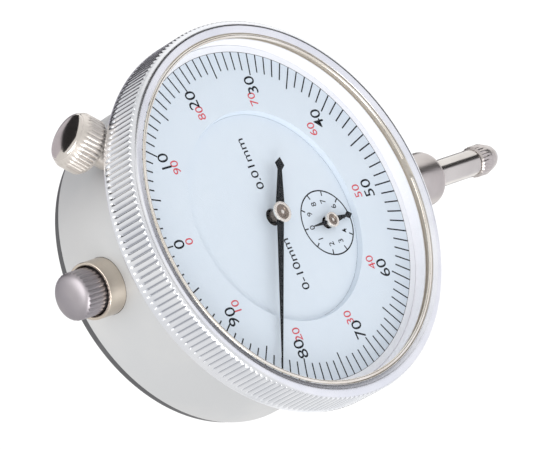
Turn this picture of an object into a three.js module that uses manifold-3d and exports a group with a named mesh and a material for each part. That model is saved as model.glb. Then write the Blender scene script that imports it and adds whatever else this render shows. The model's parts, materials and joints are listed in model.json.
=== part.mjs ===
// Dial indicator with 10 mm of spindle travel and a 0.01 mm dial, built as the real one is assembled.
// Millimetres. +Z is up along the spindle, the dial faces -Y, +X is to the right of someone reading it.
// The origin is on the spindle's axis, halfway along the part of the stem that a holder clamps.
import * as THREE from "three";
import { mergeVertices } from "three/addons/utils/BufferGeometryUtils.js";
import Module from "manifold-3d";

const wasm = await Module();
wasm.setup();

// ---- Driving dimensions -------------------------------------------------------------------------
const TRAVEL = 10; // how far the spindle moves up
const GAP = 0.05; // between pieces that rest face to face
const FIT = 0.1; // radial room of a shaft in its hole
const BIG = 48; // sides of a large turned piece
const SMALL = 20; // sides of a small turned piece

const DIAL_Z = 34; // height of the dial's centre
const DIAL_Y = -12.2; // face of the dial ring
const CENTRE_DIAL_DROP = 0.75; // the centre dial lies behind the ring's face
const DIAL_SPLIT_R = 15; // where the centre dial ends and the ring begins
const RING_THICK = 0.6;
const CENTRE_THICK = 0.5;
const DIAL_HOLE_R = 1.25; // holes in the dial for the two arbors

const BEZEL_R = 27.5;
const BEZEL_BACK_Y = DIAL_Y + 2.7;
const BEZEL_CREST_Y = DIAL_Y - 3.3;
const BEZEL_WALL_R = 25.05; // inner wall between dial ring and crystal
const CRYSTAL_SEAT_R = 25.45;
const CRYSTAL_BACK_Y = DIAL_Y - 2;
const CRYSTAL_THICK = 0.8;
const BEZEL_BORE_R = 23.65;

const CASE_R = 23.5;
const CASE_IN_R = 21.7;
const CASE_FRONT_Y = DIAL_Y + 0.9;
const CASE_BACK_Y = 5.9;
const COVER_R = 23;
const COVER_THICK = 1.5;
const LEDGE_IN_R = 18.6; // front ledge that carries the movement
const LEDGE_FRONT_Y = -9.9;
const LEDGE_THICK = 1.5;
const REAR_LEDGE_IN_R = 19;
const REAR_LEDGE_THICK = 1.6;

const STEM_R = 4;
const STEM_TOP_Z = DIAL_Z - 20.6;
const STEM_NOSE_Z = DIAL_Z - 44.3; // the full diameter ends here
const STEM_END_Z = DIAL_Z - 45.7;
const STEM_END_R = 2.5;
const SPINDLE_R = 2;
const SPINDLE_BORE_R = SPINDLE_R + FIT;
const BUSH_R = 3.97;
const BUSH_BASE_Z = DIAL_Z + 20.6;
const BUSH_CUP_Z = DIAL_Z + 24.4; // floor of the cup that the cap sinks into
const BUSH_RIM_Z = DIAL_Z + 26.35;
const BUSH_CUP_R = 3.52;
const CAP_R = 3.3;
const CAP_BASE_Z = BUSH_CUP_Z + 0.3;
const CAP_EDGE_Z = DIAL_Z + 29.75;
const CAP_TOP_Z = CAP_EDGE_Z + 0.45;
const CONTACT_TOP_Z = DIAL_Z - 56; // shoulder of the contact point
const CONTACT_R = 2.35;
const CONTACT_COLLAR_Z = CONTACT_TOP_Z - 2.2;
const CONTACT_END_Z = CONTACT_TOP_Z - 4.3;
const BALL_R = 1.5;

const CLAMP_ANGLE = (40.5 * Math.PI) / 180; // thumb screw, clockwise from the top of the dial
const CLAMP_Y = DIAL_Y + 7;

// ---- Wheel work ---------------------------------------------------------------------------------
const RACK_PITCH = 0.625;
const RACK_TEETH = 16; // teeth of the pinion that the rack drives: one turn for 10 mm
const RACK_PINION_R = (RACK_PITCH * RACK_TEETH) / (2 * Math.PI);
const RACK_LINE_X = -1.5; // the rack's pitch line
const RACK_ADDENDUM = 0.17;
const RACK_DEDENDUM = 0.25;
const WHEEL_MODULE = 0.18;
const WHEEL_TEETH = 100;
const PINION_TEETH = 10;
const WHEEL_R = (WHEEL_MODULE * WHEEL_TEETH) / 2;
const CENTRES = WHEEL_R + (WHEEL_MODULE * PINION_TEETH) / 2;
const WHEEL_BACK_Y = -7.6;
const WHEEL_THICK = 0.6;
const COUNTER_X = RACK_LINE_X - RACK_PINION_R;
const COUNTER_DZ = -Math.sqrt(CENTRES ** 2 - COUNTER_X ** 2);
const COUNTER = [COUNTER_X, DIAL_Z + COUNTER_DZ]; // arbor of the rack gear and the counter pointer
const CENTRE = [0, DIAL_Z]; // arbor of the main pointer
const TAKE_UP = [-COUNTER_X, DIAL_Z - COUNTER_DZ]; // arbor that the hairspring pulls on
const ARBOR_R = 0.6;
const PIVOT_R = 0.25;
const PIVOT_HOLE_R = PIVOT_R + FIT;
const POINTER_Y = DIAL_Y - 0.7;
const COUNTER_POINTER_Y = DIAL_Y + 0.15;
const POINTER_THICK = 0.15;

const PLATE_R = 21.4;
const PLATE_THICK = 1;
const FRONT_PLATE_BACK_Y = LEDGE_FRONT_Y - GAP;
const FRONT_PLATE_FRONT_Y = FRONT_PLATE_BACK_Y - PLATE_THICK;
const MID_PLATE_FRONT_Y = -4.4;
const MID_PLATE_BACK_Y = MID_PLATE_FRONT_Y + PLATE_THICK;
const MID_PLATE_R = 16.5;
const PILLARS = [
  [-11.2, 8],
  [-13.3, -2.5],
  [13.3, 2.5],
  [11.2, -8],
];
const PLATE_SCREW_ANGLES = [-100, 20, 140];
const PLATE_SCREW_R = 20;
const COVER_SCREW_ANGLES = [45, 135, 225, 315];
const COVER_SCREW_R = 20.4;
const COCK_BACK_Y = 3.4;
const COCK_FOOT_X = -11.6;

const GUIDE_PIN_Z = DIAL_Z + 3;
const GUIDE_PIN_R = 0.6;
const SPRING_X = 3.2;
const SPRING_R = 0.75;
const SPRING_WIRE_R = 0.17;
const SPRING_POST_Z = DIAL_Z - 14.5;
const SPRING_TURNS = 11;

const LUG_THICK = 5;
const LUG_HOLE_R = 3.25;
const LUG_R = 6;
const LUG_REACH = 7; // hole's centre behind the back cover

// ---- Helpers ------------------------------------------------------------------------------------
const rad = (degrees) => (degrees * Math.PI) / 180;
const polar = (angle, r) => [r * Math.sin(angle), r * Math.cos(angle)];

// A turned piece about the Y axis from its outline as [radius, y] pairs, closed on itself or on the axis.
function turned(outline, sides = SMALL) {
  const area = outline.reduce((sum, [r, y], i) => {
    const [r2, y2] = outline[(i + 1) % outline.length];
    return sum + r * y2 - r2 * y;
  }, 0);
  const points = (area > 0 ? outline : [...outline].reverse()).map(([r, y]) => new THREE.Vector2(r, y));
  const onAxis = outline.filter(([r]) => r === 0).length;
  if (!onAxis) points.push(points[0].clone());
  else while (points[0].x !== 0 || points[points.length - 1].x !== 0) points.push(points.shift());
  return new THREE.LatheGeometry(points, sides);
}

// The same, but turned about the Z axis, from [radius, z] pairs.
function turnedUpright(outline, sides = SMALL) {
  return turned(outline, sides).rotateX(Math.PI / 2);
}

// An outline drawn in X and Z as a reader of the dial sees it, cut from sheet: back face at backY,
// towards -Y.
function sheet(shape, backY, thick) {
  const geometry = new THREE.ExtrudeGeometry(shape, { depth: thick, bevelEnabled: false, curveSegments: 5 });
  return geometry.rotateX(Math.PI / 2).translate(0, backY, 0);
}

// Points of an arc in the drawing plane, both ends included.
function arc(x, z, r, from, to, steps) {
  return Array.from({ length: steps + 1 }, (_, i) => {
    const a = from + ((to - from) * i) / steps;
    return new THREE.Vector2(x + r * Math.cos(a), z + r * Math.sin(a));
  });
}

const circle = (x, z, r, sides) => arc(x, z, r, 0, 2 * Math.PI, sides).slice(0, -1);

function disc(x, z, r) {
  return new THREE.Shape(circle(x, z, r, BIG));
}

function withHoles(shape, holes, sides = 12) {
  for (const [x, z, r] of holes) shape.holes.push(new THREE.Path(circle(x, z, r, sides)));
  return shape;
}

function polygon(points) {
  return new THREE.Shape(points.map(([x, y]) => new THREE.Vector2(x, y)));
}

function cylinder(r, from, to, sides = SMALL) {
  return turned([[0, from], [r, from], [r, to], [0, to]], sides);
}

function box(width, depth, height, x, y, z) {
  return new THREE.BoxGeometry(width, depth, height).translate(x, y, z);
}

// A closed geometry as a manifold-3d solid: shared corners merged, triangles without area left out.
function solid(geometry) {
  const bare = geometry.clone();
  bare.deleteAttribute("normal");
  bare.deleteAttribute("uv");
  const merged = mergeVertices(bare, 1e-4);
  const index = merged.index.array;
  const faces = [];
  for (let i = 0; i < index.length; i += 3) {
    const [a, b, c] = [index[i], index[i + 1], index[i + 2]];
    if (a !== b && b !== c && c !== a) faces.push(a, b, c);
  }
  const vertProperties = merged.attributes.position.array;
  return new wasm.Manifold(new wasm.Mesh({ numProp: 3, vertProperties, triVerts: new Uint32Array(faces) }));
}

function geometryOf(made) {
  const mesh = made.getMesh();
  const geometry = new THREE.BufferGeometry();
  geometry.setAttribute("position", new THREE.BufferAttribute(new Float32Array(mesh.vertProperties), 3));
  geometry.setIndex(new THREE.BufferAttribute(new Uint32Array(mesh.triVerts), 1));
  geometry.computeVertexNormals();
  return geometry;
}

function cut(geometry, ...tools) {
  return geometryOf(tools.reduce((made, tool) => made.subtract(solid(tool)), solid(geometry)));
}

function join(...geometries) {
  return geometryOf(geometries.slice(1).reduce((made, g) => made.add(solid(g)), solid(geometries[0])));
}

const at = (geometry, x, y, z) => geometry.translate(x, y, z);
const onDial = (geometry) => at(geometry, 0, 0, DIAL_Z);
// From +Z at the dial's centre to the thumb screw's direction.
const toClamp = (geometry) => onDial(geometry.rotateY(CLAMP_ANGLE));

const STEEL = { color: 0xc9c7c4, roughness: 0.25, metalness: 1 };
const NICKEL = { color: 0xbdb2a6, roughness: 0.3, metalness: 1 };
const CHROME = { color: 0xe6e8ec, roughness: 0.2, metalness: 1 };
const SATIN = { color: 0xcdcecc, roughness: 0.5, metalness: 0.8 };
const BRASS = { color: 0xc9a85a, roughness: 0.35, metalness: 1 };
const DARK = { color: 0x505050, roughness: 0.6, metalness: 0.2 };
const DIAL_FACE = { color: 0xcbd5e0, roughness: 0.7, metalness: 0 };
const BLACK = { color: 0x22252a, roughness: 0.5, metalness: 0.1 };
const GLASS = { color: 0xffffff, roughness: 0.05, metalness: 0, transparent: true, opacity: 0.15 };
const SPRING_STEEL = { color: 0x8b8f96, roughness: 0.3, metalness: 1 };

function piece(group, name, geometry, finish) {
  const mesh = new THREE.Mesh(geometry, new THREE.MeshStandardMaterial(finish));
  mesh.name = name;
  group.add(mesh);
}

// ---- Teeth --------------------------------------------------------------------------------------
// A toothed outline round (x, z), with a tooth or a gap centred on the direction `facing`.
function toothed(x, z, teeth, rootR, tipR, rootHalf, tipHalf, facing, gapThere) {
  const step = (2 * Math.PI) / teeth;
  const first = facing + (gapThere ? step / 2 : 0);
  const points = [];
  for (let i = 0; i < teeth; i++) {
    const middle = first + i * step;
    const pointed = [[rootR, (-rootR * step) / 2], [tipR, 0]];
    const flat = [[rootR, -rootHalf], [tipR, -tipHalf], [tipR, tipHalf], [rootR, rootHalf]];
    const corners = rootHalf > 0 ? flat : pointed;
    for (const [r, half] of corners) {
      const angle = middle + half / r;
      points.push([x + r * Math.cos(angle), z + r * Math.sin(angle)]);
    }
  }
  return polygon(points);
}

function wheelShape([x, z], facing) {
  const shape = toothed(x, z, WHEEL_TEETH, WHEEL_R - 0.22, WHEEL_R + 0.15, 0, 0, facing, true);
  withHoles(shape, [[x, z, ARBOR_R + FIT]]);
  const spokes = 4;
  const quarter = (2 * Math.PI) / spokes;
  for (let i = 0; i < spokes; i++) {
    const from = facing + (i + 0.13) * quarter;
    const to = facing + (i + 0.87) * quarter;
    const outside = arc(x, z, WHEEL_R - 1.5, from, to, 7);
    const inside = arc(x, z, 2.2, to - 0.12, from + 0.12, 3);
    shape.holes.push(new THREE.Path([...outside, ...inside]));
  }
  return shape;
}

// ---- Case ---------------------------------------------------------------------------------------
const WIRE_Y = [DIAL_Y + 1.3, DIAL_Y + 2.2]; // groove that the bezel's wire ring runs in
const LEDGE_BACK_Y = LEDGE_FRONT_Y + LEDGE_THICK;
const REAR_LEDGE_Y = CASE_BACK_Y - REAR_LEDGE_THICK;

function caseShell() {
  const shell = turned([
    [CASE_R, CASE_BACK_Y], [CASE_R, WIRE_Y[1]], [CASE_R - 0.4, WIRE_Y[1]], [CASE_R - 0.4, WIRE_Y[0]],
    [CASE_R, WIRE_Y[0]], [CASE_R, CASE_FRONT_Y], [CASE_IN_R, CASE_FRONT_Y], [CASE_IN_R, LEDGE_FRONT_Y],
    [LEDGE_IN_R, LEDGE_FRONT_Y], [LEDGE_IN_R, LEDGE_BACK_Y], [CASE_IN_R, LEDGE_BACK_Y],
    [CASE_IN_R, REAR_LEDGE_Y], [REAR_LEDGE_IN_R, REAR_LEDGE_Y], [REAR_LEDGE_IN_R, CASE_BACK_Y],
  ], BIG);
  const stemHole = turnedUpright([[0, -30], [STEM_R + FIT, -30], [STEM_R + FIT, -15], [0, -15]]);
  const bushHole = turnedUpright([[0, 15], [BUSH_R + FIT, 15], [BUSH_R + FIT, 30], [0, 30]]);
  const clampHole = turnedUpright([[0, 15], [1.5, 15], [1.5, 30], [0, 30]])
    .translate(0, CLAMP_Y, 0).rotateY(CLAMP_ANGLE);
  const shoeNotch = box(5.6, 3.4, 5, 0, CASE_FRONT_Y + 1.4, 22.3).rotateY(CLAMP_ANGLE);
  const plateHoles = PLATE_SCREW_ANGLES.map((a) => {
    const [x, z] = polar(rad(a), PLATE_SCREW_R);
    return cylinder(0.8, LEDGE_FRONT_Y - 1, LEDGE_BACK_Y + 1, 12).translate(x, 0, z);
  });
  const coverHoles = COVER_SCREW_ANGLES.map((a) => {
    const [x, z] = polar(rad(a), COVER_SCREW_R);
    return cylinder(0.9, REAR_LEDGE_Y - 1, CASE_BACK_Y + 1, 12).translate(x, 0, z);
  });
  return onDial(cut(shell, stemHole, bushHole, clampHole, shoeNotch, ...plateHoles, ...coverHoles));
}

function stem() {
  const outline = [[SPINDLE_BORE_R, STEM_TOP_Z], [STEM_R, STEM_TOP_Z]];
  const steps = 4;
  for (let i = 0; i <= steps; i++) {
    const a = (i / steps) * (Math.PI / 2);
    outline.push([
      STEM_END_R + (STEM_R - STEM_END_R) * Math.cos(a),
      STEM_NOSE_Z + (STEM_END_Z - STEM_NOSE_Z) * Math.sin(a),
    ]);
  }
  outline.push([SPINDLE_BORE_R, STEM_END_Z]);
  return turnedUpright(outline, 24);
}

function upperBush() {
  return turnedUpright([
    [SPINDLE_BORE_R, BUSH_BASE_Z], [BUSH_R, BUSH_BASE_Z], [BUSH_R, BUSH_RIM_Z - 0.12],
    [BUSH_R - 0.12, BUSH_RIM_Z], [BUSH_CUP_R + 0.1, BUSH_RIM_Z], [BUSH_CUP_R, BUSH_RIM_Z - 0.1],
    [BUSH_CUP_R, BUSH_CUP_Z], [SPINDLE_BORE_R, BUSH_CUP_Z],
  ], 24);
}

function backCover() {
  const front = CASE_BACK_Y + GAP;
  const back = CASE_BACK_Y + COVER_THICK;
  const screwHoles = COVER_SCREW_ANGLES.map((a) => [...polar(rad(a), COVER_SCREW_R), 1]);
  const plate = sheet(withHoles(disc(0, 0, COVER_R), screwHoles), back, back - front);
  const lugShape = new THREE.Shape();
  lugShape.moveTo(back - 0.5, -LUG_R);
  lugShape.lineTo(back + LUG_REACH, -LUG_R);
  lugShape.absarc(back + LUG_REACH, 0, LUG_R, -Math.PI / 2, Math.PI / 2, false);
  lugShape.lineTo(back - 0.5, LUG_R);
  withHoles(lugShape, [[back + LUG_REACH, 0, LUG_HOLE_R]], SMALL);
  const lugSettings = { depth: LUG_THICK, bevelEnabled: false, curveSegments: 10 };
  const lug = new THREE.ExtrudeGeometry(lugShape, lugSettings);
  // Drawn in Y and Z, thick along X.
  lug.applyMatrix4(new THREE.Matrix4().makeBasis(
    new THREE.Vector3(0, 1, 0), new THREE.Vector3(0, 0, 1), new THREE.Vector3(1, 0, 0),
  )).translate(-LUG_THICK / 2, 0, 0);
  return onDial(join(plate, lug));
}

// A cheese-head screw along Y: head from underHead towards `side`, shank the other way.
function screw(x, z, underHead, side, headR, headHigh, shankR, shankLong) {
  return turned([
    [0, underHead + side * headHigh], [headR - 0.15, underHead + side * headHigh],
    [headR, underHead + side * (headHigh - 0.15)], [headR, underHead], [shankR, underHead],
    [shankR, underHead - side * shankLong], [0, underHead - side * shankLong],
  ], 10).translate(x, 0, z);
}

function bezelWire() {
  const middleR = (CASE_R + BEZEL_BORE_R) / 2;
  const half = 0.25;
  const open = rad(9); // the ring is split where the clamp shoe comes through
  const start = Math.PI / 2 - CLAMP_ANGLE;
  const end = start - open + 2 * Math.PI;
  const outside = arc(0, 0, middleR + half, start + open, end, BIG);
  const inside = arc(0, 0, middleR - half, end, start + open, BIG);
  const back = (WIRE_Y[0] + WIRE_Y[1]) / 2 + half;
  return onDial(sheet(new THREE.Shape([...outside, ...inside]), back, 2 * half));
}

// The shoe runs on the thumb screw's thread and its nose reaches the bezel's bore through the case's rim.
function clampShoe() {
  const noseTopY = CASE_FRONT_Y + 0.2;
  const shape = polygon([
    [18.9, -2.6], [21.35, -2.6], [21.35, noseTopY + 1.1], [23.35, noseTopY + 1.1], [23.35, noseTopY],
    [20.2, noseTopY], [20.2, -7.9], [18.9, -7.9],
  ]);
  const width = 4.8;
  const body = new THREE.ExtrudeGeometry(shape, { depth: width, bevelEnabled: false });
  // Drawn in Z and Y, thick along X.
  body.applyMatrix4(new THREE.Matrix4().makeBasis(
    new THREE.Vector3(0, 0, 1), new THREE.Vector3(0, 1, 0), new THREE.Vector3(-1, 0, 0),
  )).translate(width / 2, 0, 0);
  const thread = turnedUpright([[0, 15], [1.3, 15], [1.3, 25], [0, 25]], 16).translate(0, CLAMP_Y, 0);
  return toClamp(cut(body, thread));
}

// ---- Movement frame -----------------------------------------------------------------------------
function frontPlate() {
  const shape = withHoles(disc(0, 0, PLATE_R), [
    [0, 0, 0.75],
    [COUNTER[0], COUNTER[1] - DIAL_Z, ARBOR_R + 0.15],
    [TAKE_UP[0], TAKE_UP[1] - DIAL_Z, PIVOT_HOLE_R],
    ...PILLARS.map(([x, z]) => [x, z, 0.9]),
    ...PLATE_SCREW_ANGLES.map((a) => [...polar(rad(a), PLATE_SCREW_R), 0.9]),
  ]);
  const plate = sheet(shape, FRONT_PLATE_BACK_Y, PLATE_THICK);
  const notch = box(5.6, 4, 5, 0, FRONT_PLATE_BACK_Y, 22.3).rotateY(CLAMP_ANGLE);
  return onDial(cut(plate, notch));
}

function midPlate() {
  const shape = withHoles(disc(0, 0, MID_PLATE_R), [
    [0, 0, PIVOT_HOLE_R],
    [COUNTER[0], COUNTER[1] - DIAL_Z, 1.1],
    [TAKE_UP[0], TAKE_UP[1] - DIAL_Z, PIVOT_HOLE_R],
    ...PILLARS.map(([x, z]) => [x, z, 0.75]),
    [COCK_FOOT_X, COUNTER[1] - DIAL_Z, 0.7],
  ]);
  return onDial(sheet(shape, MID_PLATE_BACK_Y, PLATE_THICK));
}

function pillar([x, z]) {
  const back = MID_PLATE_FRONT_Y - GAP;
  const front = FRONT_PLATE_BACK_Y + GAP;
  const tenon = FRONT_PLATE_FRONT_Y + GAP;
  return onDial(turned([
    [0, tenon], [0.8, tenon], [0.8, front], [1.4, front], [1.4, back], [0.65, back], [0.65, back - 2.4],
    [0, back - 2.4],
  ], 16).translate(x, 0, z));
}

// Bridge behind the spindle that holds the rear pivot of the rack pinion's arbor.
function arborCock() {
  const foot = MID_PLATE_BACK_Y + GAP;
  const shape = polygon([
    [-13.2, foot], [-9.2, foot], [-9.2, COCK_BACK_Y - 0.8], [-1.9, COCK_BACK_Y - 0.8], [-1.9, COCK_BACK_Y],
    [-10, COCK_BACK_Y], [-10, foot + 0.8], [-13.2, foot + 0.8],
  ]);
  const width = 3.2;
  const bridge = new THREE.ExtrudeGeometry(shape, { depth: width, bevelEnabled: false })
    .translate(0, 0, COUNTER[1] - width / 2);
  const pivot = cylinder(PIVOT_HOLE_R, COCK_BACK_Y - 2, COCK_BACK_Y + 1, 12)
    .translate(COUNTER[0], 0, COUNTER[1]);
  const screwHole = cylinder(0.7, foot - 1, foot + 2, 12).translate(COCK_FOOT_X, 0, COUNTER[1]);
  return cut(bridge, pivot, screwHole);
}

// Channel that the guide pin slides in, so that the spindle can't turn.
function guideBlock() {
  const shape = polygon([
    [4.6, MID_PLATE_BACK_Y + GAP], [8.2, MID_PLATE_BACK_Y + GAP], [8.2, 2.2], [4.6, 2.2], [4.6, 0.75],
    [7.2, 0.75], [7.2, -0.75], [4.6, -0.75],
  ]);
  const high = TRAVEL + 5;
  return new THREE.ExtrudeGeometry(shape, { depth: high, bevelEnabled: false })
    .translate(0, 0, GUIDE_PIN_Z - 2.5);
}

function springPost() {
  return cylinder(0.45, MID_PLATE_BACK_Y + GAP, 1, 14).translate(SPRING_X, 0, SPRING_POST_Z);
}

class Helix extends THREE.Curve {
  constructor(r, fromZ, toZ, turns) {
    super();
    Object.assign(this, { r, fromZ, toZ, turns });
  }

  getPoint(t, target = new THREE.Vector3()) {
    const a = 2 * Math.PI * this.turns * t;
    return target.set(this.r * Math.cos(a), this.r * Math.sin(a), this.fromZ + (this.toZ - this.fromZ) * t);
  }
}

function returnSpring() {
  const path = new Helix(SPRING_R, SPRING_POST_Z + 0.9, GUIDE_PIN_Z - 1, SPRING_TURNS);
  const section = new THREE.Shape(circle(0, 0, SPRING_WIRE_R, 4));
  const options = { steps: SPRING_TURNS * 8, extrudePath: path, bevelEnabled: false };
  return new THREE.ExtrudeGeometry(section, options).translate(SPRING_X, 0, 0);
}

// A flat spiral strip, from just outside its collet to its stud.
function hairspring() {
  const innerR = 1.35;
  const outerR = 4.1;
  const turns = 3;
  const steps = turns * 16;
  const half = 0.06;
  const edge = (offset) => Array.from({ length: steps + 1 }, (_, i) => {
    const a = (2 * Math.PI * turns * i) / steps;
    const r = innerR + ((outerR - innerR) * i) / steps + offset;
    return [TAKE_UP[0] + r * Math.cos(a), TAKE_UP[1] + r * Math.sin(a)];
  });
  return sheet(polygon([...edge(half), ...edge(-half).reverse()]), -5.5, 0.4);
}

function hairspringStud() {
  return cylinder(0.35, -6.1, MID_PLATE_FRONT_Y - GAP, 12).translate(TAKE_UP[0] + 4.65, 0, TAKE_UP[1]);
}

// ---- Dial and bezel -----------------------------------------------------------------------------
function centreDial() {
  const face = DIAL_Y + CENTRE_DIAL_DROP;
  const counterHole = [COUNTER[0], COUNTER[1] - DIAL_Z, DIAL_HOLE_R - 0.35];
  const shape = withHoles(disc(0, 0, DIAL_SPLIT_R), [[0, 0, DIAL_HOLE_R], counterHole]);
  return onDial(sheet(shape, face + CENTRE_THICK, CENTRE_THICK));
}

function dialRing() {
  const back = DIAL_Y + RING_THICK;
  const outer = BEZEL_WALL_R - GAP;
  const inner = DIAL_SPLIT_R + 0.15;
  return onDial(turned([[inner, back], [outer, back], [outer, DIAL_Y], [inner, DIAL_Y]], BIG));
}

function bezelRing() {
  const seat = DIAL_Y + RING_THICK + GAP;
  return onDial(turned([
    [BEZEL_BORE_R, BEZEL_BACK_Y], [BEZEL_R, BEZEL_BACK_Y], [BEZEL_R, DIAL_Y - 2.2],
    [BEZEL_R - 0.2, DIAL_Y - 2.75], [BEZEL_R - 0.7, DIAL_Y - 3.15], [BEZEL_R - 1.2, BEZEL_CREST_Y],
    [BEZEL_R - 1.7, DIAL_Y - 3.2], [CRYSTAL_SEAT_R, DIAL_Y - 3], [CRYSTAL_SEAT_R, CRYSTAL_BACK_Y + GAP],
    [BEZEL_WALL_R, CRYSTAL_BACK_Y + GAP], [BEZEL_WALL_R, seat], [BEZEL_BORE_R, seat],
    [BEZEL_BORE_R, WIRE_Y[0]], [BEZEL_BORE_R + 0.35, WIRE_Y[0]], [BEZEL_BORE_R + 0.35, WIRE_Y[1]],
    [BEZEL_BORE_R, WIRE_Y[1]],
  ], BIG));
}

function crystal() {
  const front = CRYSTAL_BACK_Y - CRYSTAL_THICK;
  return onDial(cylinder(CRYSTAL_SEAT_R - 0.1, CRYSTAL_BACK_Y, front, BIG));
}

// Split ring that holds the crystal, open at the bottom of the dial.
function snapRing() {
  const outer = CRYSTAL_SEAT_R - 0.05;
  const inner = outer - 0.5;
  const open = rad(3.4);
  const outside = arc(0, 0, outer, open - Math.PI / 2, 1.5 * Math.PI - open, BIG);
  const inside = arc(0, 0, inner, 1.5 * Math.PI - open, open - Math.PI / 2, BIG);
  const back = CRYSTAL_BACK_Y - CRYSTAL_THICK - GAP;
  return onDial(sheet(new THREE.Shape([...outside, ...inside]), back, 0.35));
}

// ---- Spindle ------------------------------------------------------------------------------------
function spindle() {
  const shoulder = CAP_BASE_Z - GAP;
  const rod = turnedUpright([
    [0, CONTACT_TOP_Z + GAP], [SPINDLE_R, CONTACT_TOP_Z + GAP], [SPINDLE_R, shoulder], [1.2, shoulder],
    [1.2, shoulder + 3.6], [0, shoulder + 3.6],
  ], 24);
  // The rack: a comb of gaps along the -X side, with one gap level with the pinion's arbor.
  const tip = RACK_LINE_X - RACK_ADDENDUM;
  const root = RACK_LINE_X + RACK_DEDENDUM;
  const below = Math.ceil((TRAVEL + 1) / RACK_PITCH);
  const above = 2;
  const comb = [];
  for (let i = -below; i <= above; i++) {
    const gap = COUNTER[1] + i * RACK_PITCH;
    comb.push([tip, gap - 0.24], [root, gap - 0.11], [root, gap + 0.11], [tip, gap + 0.24]);
  }
  const first = comb[0][1] - 0.4;
  const last = comb[comb.length - 1][1] + 0.4;
  const outline = polygon([[-3, first], [tip, first], ...comb, [tip, last], [-3, last]]);
  // Drawn in X and Z, thick along Y.
  const cutter = new THREE.ExtrudeGeometry(outline, { depth: 6, bevelEnabled: false })
    .rotateX(Math.PI / 2).translate(0, 3, 0);
  const pinHole = cylinder(GUIDE_PIN_R + FIT, -3, 3, 14).rotateZ(Math.PI / 2).translate(0, 0, GUIDE_PIN_Z);
  const contactThread = turnedUpright([
    [0, CONTACT_TOP_Z - 1], [1.2, CONTACT_TOP_Z - 1], [1.2, CONTACT_TOP_Z + 4], [0, CONTACT_TOP_Z + 4],
  ], 16);
  return cut(rod, cutter, pinHole, contactThread);
}

function guidePin() {
  return cylinder(GUIDE_PIN_R, -1.7, 6.9, 14).rotateZ(-Math.PI / 2).translate(0, 0, GUIDE_PIN_Z);
}

function liftingCap() {
  const dome = [];
  const steps = 4;
  for (let i = 0; i <= steps; i++) {
    const t = i / steps;
    dome.push([CAP_R * (1 - t), CAP_EDGE_Z + (CAP_TOP_Z - CAP_EDGE_Z) * (1 - (1 - t) ** 2)]);
  }
  return turnedUpright([
    [1.3, CAP_BASE_Z], [CAP_R, CAP_BASE_Z], ...dome, [0, CAP_BASE_Z + 3.8], [1.3, CAP_BASE_Z + 3.8],
  ], 24);
}

function contactPoint() {
  return turnedUpright([
    [0, CONTACT_TOP_Z + 3.6], [1.1, CONTACT_TOP_Z + 3.6], [1.1, CONTACT_TOP_Z], [2.1, CONTACT_TOP_Z],
    [CONTACT_R, CONTACT_TOP_Z - 0.25], [CONTACT_R, CONTACT_COLLAR_Z], [BALL_R + 0.1, CONTACT_END_Z],
    [1, CONTACT_END_Z], [0, CONTACT_END_Z + 0.4],
  ], 24);
}

// The part of the ball that shows below its seat.
function contactBall() {
  const centre = CONTACT_END_Z + 0.35;
  const outline = [[0, CONTACT_END_Z - GAP]];
  const steps = 6;
  const from = Math.asin((centre - CONTACT_END_Z + GAP) / BALL_R);
  for (let i = 0; i <= steps; i++) {
    const a = from + (i / steps) * (Math.PI / 2 - from);
    outline.push([i === steps ? 0 : BALL_R * Math.cos(a), centre - BALL_R * Math.sin(a)]);
  }
  return turnedUpright(outline, 24);
}

// ---- Arbors, wheels and pointers ----------------------------------------------------------------
function rackPinion() {
  const front = COUNTER_POINTER_Y - POINTER_THICK - 0.1;
  const backPivot = COCK_BACK_Y - 0.1;
  const arbor = turned([
    [0, front], [0.4, front], [0.4, DIAL_Y + 1.6], [ARBOR_R, DIAL_Y + 1.6], [ARBOR_R, COCK_BACK_Y - 1],
    [PIVOT_R, COCK_BACK_Y - 1], [PIVOT_R, backPivot], [0, backPivot],
  ], 14).translate(COUNTER[0], 0, COUNTER[1]);
  const root = RACK_PINION_R - 0.25;
  const tip = RACK_PINION_R + 0.17;
  const teeth = toothed(...COUNTER, RACK_TEETH, root, tip, 0.19, 0.06, 0, false);
  return join(arbor, sheet(teeth, 1.7, 3.4));
}

const towards = ([x1, z1], [x2, z2]) => Math.atan2(z2 - z1, x2 - x1);

function wheel(arbor) {
  return sheet(wheelShape(arbor, towards(arbor, CENTRE)), WHEEL_BACK_Y, WHEEL_THICK);
}

function centrePinion() {
  const front = POINTER_Y - POINTER_THICK - 0.1;
  const arbor = turned([
    [0, front], [0.5, front], [0.5, MID_PLATE_FRONT_Y - 0.15], [PIVOT_R, MID_PLATE_FRONT_Y - 0.15],
    [PIVOT_R, MID_PLATE_BACK_Y - 0.1], [0, MID_PLATE_BACK_Y - 0.1],
  ], 14).translate(CENTRE[0], 0, CENTRE[1]);
  const pitchR = (WHEEL_MODULE * PINION_TEETH) / 2;
  const facing = towards(CENTRE, COUNTER);
  const teeth = toothed(...CENTRE, PINION_TEETH, pitchR - 0.22, pitchR + 0.12, 0.13, 0.05, facing, false);
  return join(arbor, sheet(teeth, WHEEL_BACK_Y + 0.5, WHEEL_THICK + 1));
}

function takeUpArbor() {
  const front = FRONT_PLATE_FRONT_Y + 0.1;
  const back = MID_PLATE_BACK_Y - 0.1;
  return turned([
    [0, front], [PIVOT_R, front], [PIVOT_R, FRONT_PLATE_BACK_Y + 0.15], [ARBOR_R, FRONT_PLATE_BACK_Y + 0.15],
    [ARBOR_R, MID_PLATE_FRONT_Y - 0.15], [PIVOT_R, MID_PLATE_FRONT_Y - 0.15], [PIVOT_R, back], [0, back],
  ], 14).translate(TAKE_UP[0], 0, TAKE_UP[1]);
}

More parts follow.
